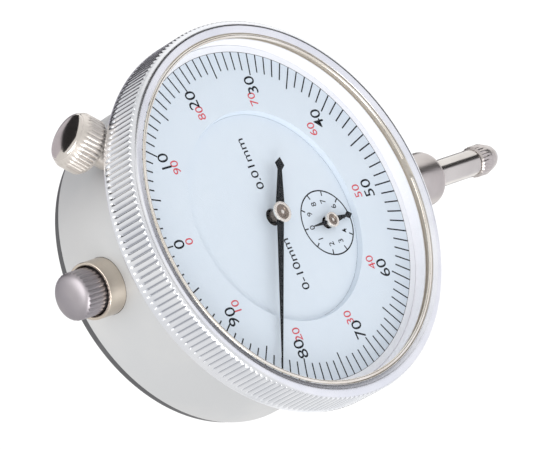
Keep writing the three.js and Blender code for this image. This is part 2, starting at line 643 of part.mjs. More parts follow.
function hairspringCollet() {
  return turned([[ARBOR_R + FIT, -6.2], [1.1, -6.2], [1.1, -5.2], [ARBOR_R + FIT, -5.2]], 16)
    .translate(TAKE_UP[0], 0, TAKE_UP[1]);
}

const MAIN_READING = rad(301.4); // where the main pointer rests, clockwise from the top

// A pointer lying along +Z before it is turned: tapered blade, boss, and a tail with an arrow head.
function pointerShape(reach, tail, bladeHalf, bossR, holeR, arrowHalf, arrowLong) {
  const tipHalf = 0.06;
  const shape = new THREE.Shape();
  shape.moveTo(-tipHalf, reach);
  shape.lineTo(-bladeHalf, bossR * 0.8);
  shape.absarc(0, 0, bossR, rad(130), rad(230), false);
  shape.lineTo(-bladeHalf * 0.9, arrowLong - tail);
  shape.lineTo(-arrowHalf, arrowLong * 0.55 - tail);
  shape.lineTo(0, -tail);
  shape.lineTo(arrowHalf, arrowLong * 0.55 - tail);
  shape.lineTo(bladeHalf * 0.9, arrowLong - tail);
  shape.absarc(0, 0, bossR, rad(-50), rad(50), false);
  shape.lineTo(bladeHalf, bossR * 0.8);
  shape.lineTo(tipHalf, reach);
  shape.closePath();
  return withHoles(shape, [[0, 0, holeR]]);
}

function mainPointer() {
  const shape = pointerShape(23.8, 8.6, 0.5, 1.2, 0.6, 0.8, 1.9);
  return onDial(sheet(shape, POINTER_Y, POINTER_THICK).rotateY(MAIN_READING));
}

function counterPointer() {
  const shape = pointerShape(3.6, 4.6, 0.3, 0.85, 0.5, 0.55, 1.3);
  return sheet(shape, COUNTER_POINTER_Y, POINTER_THICK).translate(COUNTER[0], 0, COUNTER[1]);
}

function hubCap(arbor, backY, r, high, stub) {
  return turned([
    [0, backY - high], [r - 0.12, backY - high], [r, backY - high + 0.12], [r, backY], [stub, backY],
    [0, backY],
  ], 24).translate(arbor[0], 0, arbor[1]);
}

// ---- Thumb screw --------------------------------------------------------------------------------
function clampScrew() {
  return toClamp(turnedUpright([
    [0, 17.6], [1.2, 17.6], [1.2, 23.9], [1.7, 23.9], [1.7, 26.7], [3.55, 26.7], [4, 27.3], [4, 29.7],
    [3.75, 30.3], [3.4, 30.7], [2.2, 31.05], [1.1, 31.2], [0, 31.25],
  ], 24).translate(0, CLAMP_Y, 0));
}

// ---- Assembly -----------------------------------------------------------------------------------
const indicator = new THREE.Group();
const body = Object.fromEntries(
  ["case", "bezel", "spindle", "counter", "centre", "takeUp", "clamp"].map((name) => {
    const group = new THREE.Group();
    indicator.add(group);
    return [name, group];
  }),
);

piece(body.case, "case_shell", caseShell(), SATIN);
piece(body.case, "stem", stem(), STEEL);
piece(body.case, "upper_bush", upperBush(), NICKEL);
piece(body.case, "back_cover", backCover(), DARK);
COVER_SCREW_ANGLES.forEach((a, i) => {
  const [x, z] = polar(rad(a), COVER_SCREW_R);
  const underHead = CASE_BACK_Y + COVER_THICK + GAP;
  piece(body.case, `cover_screw_${i + 1}`, onDial(screw(x, z, underHead, 1, 1.7, 0.9, 0.8, 3)), STEEL);
});
piece(body.case, "bezel_wire_ring", bezelWire(), SPRING_STEEL);
piece(body.case, "clamp_shoe", clampShoe(), BRASS);
piece(body.case, "front_plate", frontPlate(), BRASS);
PLATE_SCREW_ANGLES.forEach((a, i) => {
  const [x, z] = polar(rad(a), PLATE_SCREW_R);
  const made = screw(x, z, FRONT_PLATE_FRONT_Y - GAP, -1, 1.25, 0.5, 0.65, 2.2);
  piece(body.case, `plate_screw_${i + 1}`, onDial(made), STEEL);
});
piece(body.case, "middle_plate", midPlate(), BRASS);
PILLARS.forEach(([x, z], i) => {
  piece(body.case, `pillar_${i + 1}`, pillar([x, z]), BRASS);
  const made = screw(x, z, MID_PLATE_BACK_Y + GAP, 1, 1.2, 0.6, 0.5, 3);
  piece(body.case, `pillar_screw_${i + 1}`, onDial(made), STEEL);
});
piece(body.case, "arbor_cock", arborCock(), BRASS);
const cockFootBackY = MID_PLATE_BACK_Y + GAP * 2 + 0.8;
const cockScrew = screw(COCK_FOOT_X, COUNTER[1], cockFootBackY, 1, 1.2, 0.6, 0.5, 1.7);
piece(body.case, "cock_screw", cockScrew, STEEL);
piece(body.case, "guide_block", guideBlock(), BRASS);
piece(body.case, "spring_post", springPost(), STEEL);
piece(body.case, "return_spring", returnSpring(), SPRING_STEEL);
piece(body.case, "hairspring", hairspring(), SPRING_STEEL);
piece(body.case, "hairspring_stud", hairspringStud(), BRASS);
piece(body.case, "centre_dial", centreDial(), DIAL_FACE);

piece(body.bezel, "bezel_ring", bezelRing(), CHROME);
piece(body.bezel, "dial_ring", dialRing(), DIAL_FACE);
piece(body.bezel, "crystal", crystal(), GLASS);
piece(body.bezel, "crystal_snap_ring", snapRing(), BRASS);

piece(body.spindle, "spindle", spindle(), STEEL);
piece(body.spindle, "guide_pin", guidePin(), STEEL);
piece(body.spindle, "lifting_cap", liftingCap(), NICKEL);
piece(body.spindle, "contact_point", contactPoint(), STEEL);
piece(body.spindle, "contact_ball", contactBall(), CHROME);

piece(body.counter, "rack_pinion", rackPinion(), STEEL);
piece(body.counter, "rack_gear", wheel(COUNTER), BRASS);
piece(body.counter, "counter_pointer", counterPointer(), BLACK);
const counterCapY = COUNTER_POINTER_Y - POINTER_THICK - 0.15;
piece(body.counter, "counter_hub_cap", hubCap(COUNTER, counterCapY, 1.1, 0.4, 0.4), NICKEL);

piece(body.centre, "centre_pinion", centrePinion(), STEEL);
piece(body.centre, "main_pointer", mainPointer(), BLACK);
const mainCapY = POINTER_Y - POINTER_THICK - 0.15;
piece(body.centre, "pointer_hub_cap", hubCap(CENTRE, mainCapY, 1.5, 0.35, 0.5), NICKEL);

piece(body.takeUp, "take_up_arbor", takeUpArbor(), STEEL);
piece(body.takeUp, "take_up_gear", wheel(TAKE_UP), BRASS);
piece(body.takeUp, "hairspring_collet", hairspringCollet(), BRASS);

piece(body.clamp, "clamp_screw", clampScrew(), NICKEL);

export default indicator;
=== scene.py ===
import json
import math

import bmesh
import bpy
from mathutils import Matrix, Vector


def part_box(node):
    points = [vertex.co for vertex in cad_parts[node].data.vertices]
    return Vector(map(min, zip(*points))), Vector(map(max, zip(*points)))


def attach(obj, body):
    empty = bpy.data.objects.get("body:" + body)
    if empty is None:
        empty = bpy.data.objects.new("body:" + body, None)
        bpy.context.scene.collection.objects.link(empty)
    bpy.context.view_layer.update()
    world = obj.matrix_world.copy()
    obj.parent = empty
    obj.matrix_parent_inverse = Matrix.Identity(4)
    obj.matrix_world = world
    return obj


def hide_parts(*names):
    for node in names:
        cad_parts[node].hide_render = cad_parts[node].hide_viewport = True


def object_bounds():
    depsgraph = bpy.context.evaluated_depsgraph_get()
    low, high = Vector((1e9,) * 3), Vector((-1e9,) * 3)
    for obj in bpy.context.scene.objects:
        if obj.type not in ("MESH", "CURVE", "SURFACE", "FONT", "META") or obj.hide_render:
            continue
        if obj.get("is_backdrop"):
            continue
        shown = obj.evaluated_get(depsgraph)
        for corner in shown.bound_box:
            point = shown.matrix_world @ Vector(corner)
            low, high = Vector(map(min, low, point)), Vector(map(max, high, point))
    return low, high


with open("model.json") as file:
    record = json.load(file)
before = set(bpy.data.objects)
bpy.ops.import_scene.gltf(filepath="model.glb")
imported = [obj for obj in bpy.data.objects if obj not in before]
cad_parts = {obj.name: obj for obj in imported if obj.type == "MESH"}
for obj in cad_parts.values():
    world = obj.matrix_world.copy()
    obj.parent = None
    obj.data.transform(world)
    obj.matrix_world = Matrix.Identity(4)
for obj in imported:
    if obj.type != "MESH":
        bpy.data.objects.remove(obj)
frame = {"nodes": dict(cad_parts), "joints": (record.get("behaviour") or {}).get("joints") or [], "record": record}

# %% [markdown]
# # A plunger dial indicator
# A dial indicator measures small movements. Its spindle slides in a stem, a rack on the spindle turns
# a train of wheels, and the wheels turn a pointer over a dial. The frame that was just loaded holds
# the true sizes, places and joints of all its parts. This lesson builds the fine surfaces around it:
# the parts that show are modelled again with all their edges, knurls and print, and the wheel work
# that the case hides keeps its shape and gets its finish.

MM = 0.001
cad_low, cad_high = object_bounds()
print("frame:", len(frame["nodes"]), "nodes,", [round(side / MM, 2) for side in cad_high - cad_low], "mm")

# %% [markdown]
# ## Three workbenches
# A lathe part is easiest to draw where its own axis is the z axis. So there are three workbenches,
# all in millimetres: one on the dial, with z towards the reader, one on the spindle, and one on the
# thumb screw. A piece is shaped on its bench, and the bench's matrix then puts it where the frame
# has it. The other way would be to draw everything in place, which makes each outline hard to read.

# %% Workbenches and measures
joints = {joint["name"]: joint for joint in frame["joints"]}


def corners(node):
    low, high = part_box(node)
    return low / MM, high / MM


def bench(origin, turn):
    return Matrix.Translation(origin * MM) @ turn.to_4x4() @ Matrix.Scale(MM, 4)


ring_low, ring_high = corners("dial_ring")
DIAL_CENTRE = Vector(((ring_low.x + ring_high.x) / 2, ring_low.y, (ring_low.z + ring_high.z) / 2))
FACING_READER = Matrix(((1, 0, 0), (0, 0, -1), (0, 1, 0)))
DIAL_BENCH = bench(DIAL_CENTRE, FACING_READER)
SPINDLE_BENCH = bench(Vector((0, 0, 0)), Matrix.Identity(3))
clamp_joint = joints["clamp_turn"]
clamp_axis = Vector(clamp_joint["axis"])
CLAMP_BENCH = bench(Vector(clamp_joint["pos_m"]) / MM, clamp_axis.to_track_quat("Z", "Y").to_matrix())


def on_dial(node):
    """Back and front heights of a node above the dial's face."""
    low, high = corners(node)
    return DIAL_CENTRE.y - high.y, DIAL_CENTRE.y - low.y


def radius_of(node):
    low, high = corners(node)
    return (high.x - low.x) / 2


def arbor_at(joint):
    place = Vector(joints[joint]["pos_m"]) / MM - DIAL_CENTRE
    return place.x, place.z


print("dial centre", tuple(round(c, 2) for c in DIAL_CENTRE), "counter arbor", arbor_at("counter_turn"))

# %% [markdown]
# ## Camera
# A long lens from far away keeps the round dial a true ellipse. The indicator is seen from above its
# lifting cap, half from the front, with the camera rolled so that the spindle points to the upper
# right. A camera can be aimed with a constraint or with angles. Here its three axes are written down,
# which needs no constraint and holds the roll as well.

# %% Camera
LENS_MM = 270.15
SENSOR_MM = 36
camera_right = Vector((-0.41250, -0.63641, -0.65179)).normalized()
camera_up = Vector((0.90577, -0.36280, -0.21899)).normalized()
camera_back = camera_right.cross(camera_up)
camera_offset = Vector((-55.45, -380.16, 406.64))  # from the dial's centre, in millimetres

camera_data = bpy.data.cameras.new("camera")
camera_data.lens = LENS_MM
camera_data.sensor_width = SENSOR_MM
camera = bpy.data.objects.new("camera", camera_data)
bpy.context.scene.collection.objects.link(camera)
axes = Matrix((camera_right, camera_up, camera_back)).transposed()
camera.matrix_world = Matrix.Translation((DIAL_CENTRE + camera_offset) * MM) @ axes.to_4x4()
bpy.context.scene.camera = camera
print("camera", round(camera_offset.length), "mm from the dial")

# %% [markdown]
# ## Shader arithmetic
# A finish is a recipe of shader nodes round one Principled shader. Placing every Math node by hand
# hides what is worked out, so a small class lets Python's own signs add the Math nodes, and one
# method places every other node.

# %% Recipes for finishes
class Signal:
    """A socket that Python's signs work on: each sign adds its Math node."""

    def __init__(self, recipe, socket):
        self.recipe, self.socket = recipe, socket

    def __add__(self, other):
        return self.recipe.maths("ADD", self, other)

    def __sub__(self, other):
        return self.recipe.maths("SUBTRACT", self, other)

    def __rsub__(self, other):
        return self.recipe.maths("SUBTRACT", other, self)

    def __mul__(self, other):
        return self.recipe.maths("MULTIPLY", self, other)

    __radd__ = __add__
    __rmul__ = __mul__


class Recipe:
    """A material under construction."""

    def __init__(self, name, uniform):
        self.material = bpy.data.materials.new(name)
        self.material.use_nodes = True
        self.tree = self.material.node_tree
        self.shader = self.tree.nodes["Principled BSDF"]
        self.set(uniform)

    def set(self, values):
        for socket, value in values.items():
            self.feed(self.shader.inputs[socket], value)

    def finish(self, values):
        self.set(values)
        return self.material

    def feed(self, socket, value):
        if isinstance(value, Signal):
            self.tree.links.new(value.socket, socket)
        else:
            socket.default_value = value

    def node(self, kind, settings, values, output=0):
        made = self.tree.nodes.new(kind)
        for setting, value in settings.items():
            setattr(made, setting, value)
        for socket, value in values.items():
            self.feed(made.inputs[socket], value)
        return Signal(self, made.outputs[output])

    def maths(self, operation, *terms):
        return self.node("ShaderNodeMath", {"operation": operation}, dict(enumerate(terms)))

    def place(self, centre=(0, 0, 0), stretch=(1, 1, 1)):
        """The surface's own place in metres, measured from a centre and stretched."""
        object_place = self.node("ShaderNodeTexCoord", {}, {}, "Object")
        shift = [-c * s for c, s in zip(centre, stretch)]
        values = {"Vector": object_place, "Location": shift, "Scale": stretch}
        return self.node("ShaderNodeMapping", {}, values)

    def cloud(self, where, grain, detail=3):
        """Soft noise from 0 to 1, its lumps `grain` metres across."""
        return self.node("ShaderNodeTexNoise", {}, {"Vector": where, "Scale": 1 / grain, "Detail": detail})

    def lines(self, distance, pitch, detail=2):
        """Noise along one measured distance only: fine lines `pitch` metres apart."""
        wave = {"W": distance, "Scale": 1 / pitch, "Detail": detail}
        return self.node("ShaderNodeTexNoise", {"noise_dimensions": "1D"}, wave)

    def length(self, where):
        return self.node("ShaderNodeVectorMath", {"operation": "LENGTH"}, {0: where}, "Value")

    def blend(self, factor, first, second):
        """A colour between two colours."""
        return self.node("ShaderNodeMix", {"data_type": "RGBA"}, {0: factor, 6: first, 7: second}, 2)

    def between(self, value, low, high):
        """0 below low, 1 above high, and smooth in between."""
        steps = {"interpolation_type": "SMOOTHSTEP"}
        return self.node("ShaderNodeMapRange", steps, {0: value, 1: low, 2: high})

    def relief(self, height, depth):
        """A bump of `depth` metres."""
        return self.node("ShaderNodeBump", {}, {"Height": height, "Distance": depth, "Strength": 1.0})


def rgb(code):
    """A colour from its six hexadecimal digits, as the linear values that shaders use."""
    parts = [int(code[i:i + 2], 16) / 255 for i in (0, 2, 4)]
    return (*[p / 12.92 if p <= 0.04045 else ((p + 0.055) / 1.055) ** 2.4 for p in parts], 1.0)


print("recipes ready")

# %% [markdown]
# ## Metal finishes
# Nearly every part is metal, and they differ in colour, in gloss and in the marks that their making
# left. Turned parts carry fine rings round their axis, ground shafts carry rings along their length,
# the case is bead blasted, and plated parts are smooth with a faint haze. The marks are noise that
# depends only on the distance from the axis, or only on the height, so they stay put from all sides.

# %% Metal recipes
def turned_metal(name, colour, shade, roughness, haze, mark_pitch, mark_depth, axis):
    """A lathe finish: colour that drifts a little, and rings round an axis."""
    recipe = Recipe(name, {"Metallic": 1.0})
    drift = recipe.cloud(recipe.place(), 0.006)
    rings = recipe.lines(recipe.length(recipe.place(*axis)), mark_pitch)
    return recipe.finish({
        "Base Color": recipe.blend(recipe.between(drift, 0.3, 0.7), rgb(colour), rgb(shade)),
        "Roughness": roughness + haze * drift,
        "Normal": recipe.relief(rings, mark_depth),
    })


dial_axis = (tuple(DIAL_CENTRE * MM), (1, 0, 1))
along_spindle = ((0, 0, 0), (0, 0, 1))
everywhere = ((0, 0, 0), (1, 1, 1))


def blasted_metal():
    """The case: fine bead-blasted plating, a little warmer in patches."""
    recipe = Recipe("satin_case", {"Metallic": 0.55})
    grain = recipe.cloud(recipe.place(), 0.00012, 4)
    patches = recipe.between(recipe.cloud(recipe.place(), 0.012), 0.35, 0.65)
    return recipe.finish({
        "Base Color": recipe.blend(patches, rgb("c8c8c8"), rgb("c2c3c4")),
        "Roughness": 0.46 + 0.05 * patches + 0.08 * grain,
        "Normal": recipe.relief(grain, 0.000004),
    })


def painted_cover():
    """The back cover: dark baked paint with a fine orange-peel."""
    recipe = Recipe("dark_cover", {"Metallic": 0.0, "Coat Weight": 0.15, "Coat Roughness": 0.3})
    peel = recipe.cloud(recipe.place(), 0.0004, 2)
    dust = recipe.between(recipe.cloud(recipe.place(), 0.003, 4), 0.4, 0.8)
    return recipe.finish({
        "Base Color": recipe.blend(dust, rgb("454547"), rgb("525254")),
        "Roughness": 0.42 + 0.12 * dust,
        "Normal": recipe.relief(peel, 0.000012),
    })


def plated_bezel():
    """Bright plate outside, painted shade in the knurl's grooves and crystal seat, satin on the wall round the
    dial.
    """
    recipe = Recipe("chrome", {})
    from_axis = recipe.length(recipe.place(*dial_axis))
    outer, wall = radius_of("bezel_ring"), radius_of("dial_ring")
    depth = recipe.node("ShaderNodeSeparateXYZ", {}, {0: recipe.place()}, 1)
    front = corners("bezel_ring")[0].y
    behind_front = recipe.between(depth, (front + 0.2) * MM, (front + 0.5) * MM)
    # painted shade: the knurl's grooves are darker than its ridges
    groove = (1 - recipe.between(from_axis, (outer - 0.34) * MM, (outer - 0.04) * MM)) * behind_front
    satin = 1 - recipe.between(from_axis, (wall + 0.5) * MM, (wall + 0.56) * MM)
    # painted shade: the crystal's seat is a darker brownish grey
    seat_shade = recipe.between(from_axis, (wall + 0.15) * MM, (wall + 0.22) * MM)
    haze = recipe.cloud(recipe.place(), 0.006)
    plate = recipe.blend(recipe.between(haze, 0.3, 0.7), rgb("f0f1f4"), rgb("e6e8ed"))
    groove_shaded_plate = recipe.blend(groove, plate, rgb("bcbec4"))
    rings = recipe.lines(from_axis, 0.00006)
    return recipe.finish({
        "Base Color": recipe.blend(satin, groove_shaded_plate, recipe.blend(seat_shade, rgb("fbfbff"), rgb("b3aba0"))),
        "Metallic": 1 - satin,
        "Roughness": 0.18 + 0.06 * haze + 0.4 * satin,
        "Normal": recipe.relief(rings, 0.0000006),
    })


CLAMP_FACE = 30.65  # where the thumb screw's polished face begins, in millimetres along its axis


def screw_nickel():
    """The thumb screw: satin nickel on the knurl and a polished face."""
    recipe = Recipe("pale_nickel", {"Metallic": 1.0})
    from_joint = recipe.place(clamp_joint["pos_m"])
    product = {"operation": "DOT_PRODUCT"}
    out = recipe.node("ShaderNodeVectorMath", product, {0: from_joint, 1: clamp_axis}, "Value")
    face = recipe.between(out, (CLAMP_FACE - 0.15) * MM, (CLAMP_FACE + 0.05) * MM)
    wear = recipe.cloud(recipe.place(), 0.004)
    return recipe.finish({
        "Base Color": recipe.blend(recipe.between(wear, 0.3, 0.7), rgb("e6dfd8"), rgb("d6cfc8")),
        "Roughness": 0.28 + 0.1 * wear - 0.22 * face,
        "Normal": recipe.relief(recipe.cloud(recipe.place(), 0.0002), 0.000002),
    })


TURNED = {  # colour, shade, roughness, haze, pitch and depth of the marks in metres, axis
    "steel": ("d6d1cc", "c6c1bd", 0.16, 0.10, 0.00012, 0.0000012, along_spindle),
    "nickel": ("d8cdbf", "c8bdb0", 0.16, 0.12, 0.0001, 0.000001, everywhere),
    "grey_nickel": ("b0aaad", "9a959a", 0.33, 0.14, 0.0001, 0.000001, everywhere),
    "satin_steel": ("c8c1be", "bab3b0", 0.25, 0.12, 0.00012, 0.0000012, along_spindle),
    # shade_black: the front plate, painted black as the shade seen through the dial's holes
    "shade_black": ("2b2826", "35312d", 0.4, 0.2, 0.0002, 0.000002, everywhere),
    "ball": ("dcdcde", "d0d0d4", 0.05, 0.04, 0.0002, 0.0000003, everywhere),
    "brass": ("d8b469", "c79f52", 0.24, 0.16, 0.0001, 0.000002, everywhere),
    "arbor_steel": ("c3c5ca", "b0b3ba", 0.15, 0.10, 0.00008, 0.000001, dial_axis),
    "spring_steel": ("a5aab4", "8e949f", 0.22, 0.14, 0.0002, 0.000002, everywhere),
    "ring_wire": ("f6f1e8", "e8e0d3", 0.16, 0.12, 0.0003, 0.000002, everywhere),
}
finishes = {name: turned_metal(name, *look) for name, look in TURNED.items()}
finishes["satin_case"] = blasted_metal()
finishes["dark_cover"] = painted_cover()
finishes["chrome"] = plated_bezel()
finishes["pale_nickel"] = screw_nickel()
print("metal finishes:", ", ".join(finishes))

# %% [markdown]
# ## Dial, print and crystal
# The dial is enamelled in pale blue-grey with a lighter border outside the graduations, its print is
# ink a few hundredths of a millimetre thick, and the pointers are satin black. The crystal is clear:
# a real refracting body would darken what lies below and need a long render, so it is a transparent
# shader with a mirror that grows with the slant of the view, the same from outside and from inside.

# %% Dial, ink and crystal recipes
DIAL_PRINT_R = 24.0  # the blue field ends at this radius


def enamel():
    recipe = Recipe("dial_face", {"Metallic": 0.0, "Coat Weight": 0.1, "Coat Roughness": 0.35})
    from_axis = recipe.length(recipe.place(*dial_axis))
    border = recipe.between(from_axis, (DIAL_PRINT_R - 0.05) * MM, (DIAL_PRINT_R + 0.05) * MM)
    mottle = recipe.cloud(recipe.place(), 0.004, 5)
    grain = recipe.cloud(recipe.place(), 0.00015, 3)
    field = recipe.blend(mottle, rgb("d3deea"), rgb("d8e2ec"))
    return recipe.finish({
        "Base Color": recipe.blend(border, field, rgb("eff1f6")),
        "Roughness": 0.55 + 0.08 * mottle,
        "Normal": recipe.relief(grain, 0.000002),
    })


def ink(name, colour, worn):
    recipe = Recipe(name, {"Metallic": 0.0, "Specular IOR Level": 0.15})
    density = recipe.cloud(recipe.place(), 0.0006, 4)
    return recipe.finish({
        "Base Color": recipe.blend(recipe.between(density, 0.45, 0.9), rgb(colour), rgb(worn)),
        "Roughness": 0.45 + 0.1 * density,
    })


def clear_crystal():
    recipe = Recipe("crystal", {"Base Color": rgb("ffffff"), "Metallic": 1.0, "Roughness": 0.02})
    ripple = recipe.cloud(recipe.place(), 0.02, 1)
    recipe.set({"Normal": recipe.relief(ripple, 0.00001)})
    facing = recipe.node("ShaderNodeLayerWeight", {}, {"Blend": 0.5}, "Facing")
    mirror = 0.6 * recipe.maths("POWER", facing, 5) + 0.005
    clear = recipe.node("ShaderNodeBsdfTransparent", {}, {})
    gloss = Signal(recipe, recipe.shader.outputs[0])
    mixed = recipe.node("ShaderNodeMixShader", {}, {0: mirror, 1: clear, 2: gloss})
    recipe.feed(recipe.tree.nodes["Material Output"].inputs["Surface"], mixed)
    return recipe.material


def hub_metal(name, arbor, radius):
    """A pointer's cap: nickel with a painted dark reflection on its face and painted highlights on rim and arbor's
    end.
    """
    recipe = Recipe(name, {"Metallic": 1.0})
    centre = (DIAL_CENTRE + Vector((arbor[0], 0, arbor[1]))) * MM
    from_arbor = recipe.length(recipe.place(centre, (1, 0, 1)))
    # painted reflection: a dark face, with a bright rim and arbor's end as painted highlights, by radius
    rim = recipe.between(from_arbor, 0.68 * radius * MM, 0.76 * radius * MM)
    face = 1 - recipe.between(from_arbor, 0.16 * radius * MM, 0.24 * radius * MM)
    wear = recipe.cloud(recipe.place(), 0.0006)
    return recipe.finish({
        "Base Color": recipe.blend(rim + face, rgb("8d8177"), rgb("efe9e0")),
        "Roughness": 0.2 + 0.14 * wear,
        "Normal": recipe.relief(recipe.lines(from_arbor, 0.00008), 0.000002),
    })


finishes["dial_face"] = enamel()
finishes["crystal"] = clear_crystal()
finishes["pointer_black"] = ink("pointer_black", "15181c", "22262a")
finishes["black_ink"] = ink("black_ink", "12161e", "262c35")
finishes["red_ink"] = ink("red_ink", "cf4a55", "dc6f78")
print("all finishes:", len(finishes))

# %% [markdown]
# ## Tools of the workshop
# Nearly everything here is turned, so the lathe is the main tool: an outline of radius and height is
# spun once round the z axis. Corners of an outline can carry a radius, because no real edge is sharp
# and it is the small roundings that catch the light. A boolean modifier is the drill and the saw,
# and `finish_piece` puts a shape in place, gives it its material, hangs it on its body and hides the parts it
# stands for.

# %% The lathe, the drill and the last step
def arc(x, y, wide, high, first, last, steps):
    """Points of an ellipse round (x, y) between two angles in degrees."""
    turns = [math.radians(first + (last - first) * i / steps) for i in range(steps + 1)]
    return [(x + wide * math.cos(a), y + high * math.sin(a)) for a in turns]


def soften(outline):
    """The outline with an arc at each corner that gives a radius as its third number."""
    points = []
    for i, corner in enumerate(outline):
        here = Vector(corner[:2])
        if len(corner) == 2:
            points.append(here)
            continue
        before = Vector(outline[i - 1][:2]) - here
        after = Vector(outline[(i + 1) % len(outline)][:2]) - here
        reach = corner[2] / math.tan(before.angle(after) / 2)
        start = here + before.normalized() * reach
        end = here + after.normalized() * reach
        steps = 5
        for k in range(steps + 1):
            t = k / steps
            points.append(start.lerp(here, t).lerp(here.lerp(end, t), t))
    return points


def turn(outline, sides=128):
    """A lathe part from (radius, height) corners. It closes on the axis or on itself."""
    shape = bmesh.new()
    solid = outline[0][0] == 0 and outline[-1][0] == 0
    chain = [shape.verts.new((point.x, 0, point.y)) for point in soften(outline)]
    pairs = list(zip(chain, chain[1:])) + ([] if solid else [(chain[-1], chain[0])])
    edges = [shape.edges.new(pair) for pair in pairs]
    bmesh.ops.spin(
        shape, geom=chain + edges, cent=(0, 0, 0), axis=(0, 0, 1), angle=2 * math.pi, steps=sides,
        use_merge=True,
    )
    bmesh.ops.remove_doubles(shape, verts=shape.verts, dist=1e-4)
    bmesh.ops.recalc_face_normals(shape, faces=shape.faces)
    return shape


def as_object(shape, name):
    mesh = bpy.data.meshes.new(name)
    shape.to_mesh(mesh)
    shape.free()
    made = bpy.data.objects.new(name, mesh)
    bpy.context.scene.collection.objects.link(made)
    return made


def evaluated_mesh(made):
    return bpy.data.meshes.new_from_object(made.evaluated_get(bpy.context.evaluated_depsgraph_get()))


def combine(shape, tool, operation="DIFFERENCE"):
    """The shape with the tool cut away, or joined on."""
    work, cutter = as_object(shape, "work"), as_object(tool, "cutter")
    modifier = work.modifiers.new("combine", "BOOLEAN")
    modifier.operation, modifier.object, modifier.solver = operation, cutter, "EXACT"
    result = evaluated_mesh(work)
    made = bmesh.new()
    made.from_mesh(result)
    for leftover in (work.data, cutter.data, result):
        bpy.data.meshes.remove(leftover)
    return made


def rod(radius, low, high, sides=64):
    return turn([(0, low), (radius, low), (radius, high), (0, high)], sides)


def block(width, depth, height, centre):
    made = bmesh.new()
    size = Matrix.Diagonal((width, depth, height, 1))
    bmesh.ops.create_cube(made, size=1, matrix=Matrix.Translation(centre) @ size)
    return made


def moved(shape, matrix):
    shape.transform(matrix)
    return shape


def thicken(shape, along):
    """Flat faces made a closed slab."""
    pushed = bmesh.ops.extrude_face_region(shape, geom=shape.faces[:])
    far = [part for part in pushed["geom"] if isinstance(part, bmesh.types.BMVert)]
    bmesh.ops.translate(shape, verts=far, vec=along)
    bmesh.ops.recalc_face_normals(shape, faces=shape.faces)


def finish_piece(name, shape, bench_matrix, body, finish, stands_for=(), crease=32):
    """Puts a shape in place as a named piece, in a named finish, that rides on a body."""
    shape.transform(bench_matrix)
    made = as_object(shape, name)
    made.data.shade_smooth()
    made.data.set_sharp_from_angle(angle=math.radians(crease))
    made.data.materials.append(finishes[finish])
    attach(made, body)
    if stands_for:
        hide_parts(*stands_for)
    triangles = sum(len(face.vertices) - 2 for face in made.data.polygons)
    print(f"{name}: {triangles} triangles on {body}")


# %% [markdown]
# ## Knurling
# Straight knurls are pressed in by a toothed wheel. Modelling each ridge as a solid of its own would
# cost far too many faces. Instead the part is spun with a fixed number of steps for each tooth, and
# every vertex that stands above the groove's surface is pushed in to it. Where the part's own outline
# dips below the groove, nothing moves, so grooves run out over a rounded shoulder as real ones do.

# %% The knurling tool
STEPS_PER_TOOTH = 6


def knurl(shape, teeth, groove_r, ridge_r, low, high, run_out):
    """Presses straight grooves between two heights. They get shallower over run_out at the low end."""
    for vertex in shape.verts:
        x, y, z = vertex.co
        radius = math.hypot(x, y)
        if not low <= z <= high or radius <= groove_r:
            continue
        phase = math.atan2(y, x) * teeth / (2 * math.pi)
        share = abs(phase - round(phase)) * 2
        ease = min(1.0, (z - low) / run_out)
        surface = ridge_r - (ridge_r - groove_r) * (1 - math.sin(share * math.pi / 2)) * ease
        if radius > surface:
            vertex.co = Vector((x * surface / radius, y * surface / radius, z))
    return shape


print("workshop ready")

# %% [markdown]
# ## The bezel
# The bezel is the ring that the user turns to bring the dial's zero under the pointer. It is one
# turned ring in bright plate. The outside is knurled over most of its depth, with a smooth band
# behind, and its front is a polished rounded rim that falls away to the crystal on the inside.

# %% Bezel ring
BEZEL_TEETH = 195
bezel_r = radius_of("bezel_ring")
bezel_back, bezel_crest = on_dial("bezel_ring")
crystal_back, crystal_front = on_dial("crystal")
crystal_seat_r = radius_of("crystal") + 0.1
wall_r = radius_of("dial_ring") + 0.05
dial_back = on_dial("dial_ring")[0]
case_r = radius_of("case_shell")
bore_r = case_r + 0.15
wire_low, wire_high = on_dial("bezel_wire_ring")


def bezel():
    shoulder = bezel_crest - 0.85  # where the side begins to round over
    band = bezel_back + 0.5  # top of the smooth band behind the knurl
    crest_r = bezel_r - 1.05
    side = [(bezel_r, band + step) for step in (0, 0.15, 0.35, 0.55, 0.75, 0.95)]
    side += [(bezel_r, shoulder)]
    over = arc(crest_r, shoulder, bezel_r - crest_r, bezel_crest - shoulder, 0, 90, 14)[1:]
    inside = [
        (crest_r - 0.35, bezel_crest - 0.08, 0.2), (crystal_seat_r + 0.12, crystal_front + 0.33, 0.1),
        (crystal_seat_r, crystal_front + 0.15), (crystal_seat_r, crystal_back - 0.05),
        (wall_r, crystal_back - 0.05, 0.03), (wall_r, dial_back - 0.05), (bore_r, dial_back - 0.05),
        (bore_r, wire_high + 0.2), (bore_r + 0.35, wire_high + 0.2), (bore_r + 0.35, wire_low - 0.2),
        (bore_r, wire_low - 0.2), (bore_r, bezel_back, 0.08), (bezel_r - 0.05, bezel_back, 0.15),
        (bezel_r, bezel_back + 0.25), (bezel_r, band - 0.08),
    ]
    ring = turn([*side, *over, *inside], BEZEL_TEETH * STEPS_PER_TOOTH)
    return knurl(ring, BEZEL_TEETH, bezel_r - 0.28, bezel_r, band, bezel_crest, 0.9)


finish_piece("bezel", bezel(), DIAL_BENCH, "bezel", "chrome", ["bezel_ring"])

# %% [markdown]
# ## Crystal and snap ring
# The crystal is a flat round glass on a step inside the bezel. A split spring ring of pale wire snaps
# in above it, with its gap at the bottom. The wire's round section is spun through a little less than
# a full turn, and the two end faces stay, so it is a closed body.

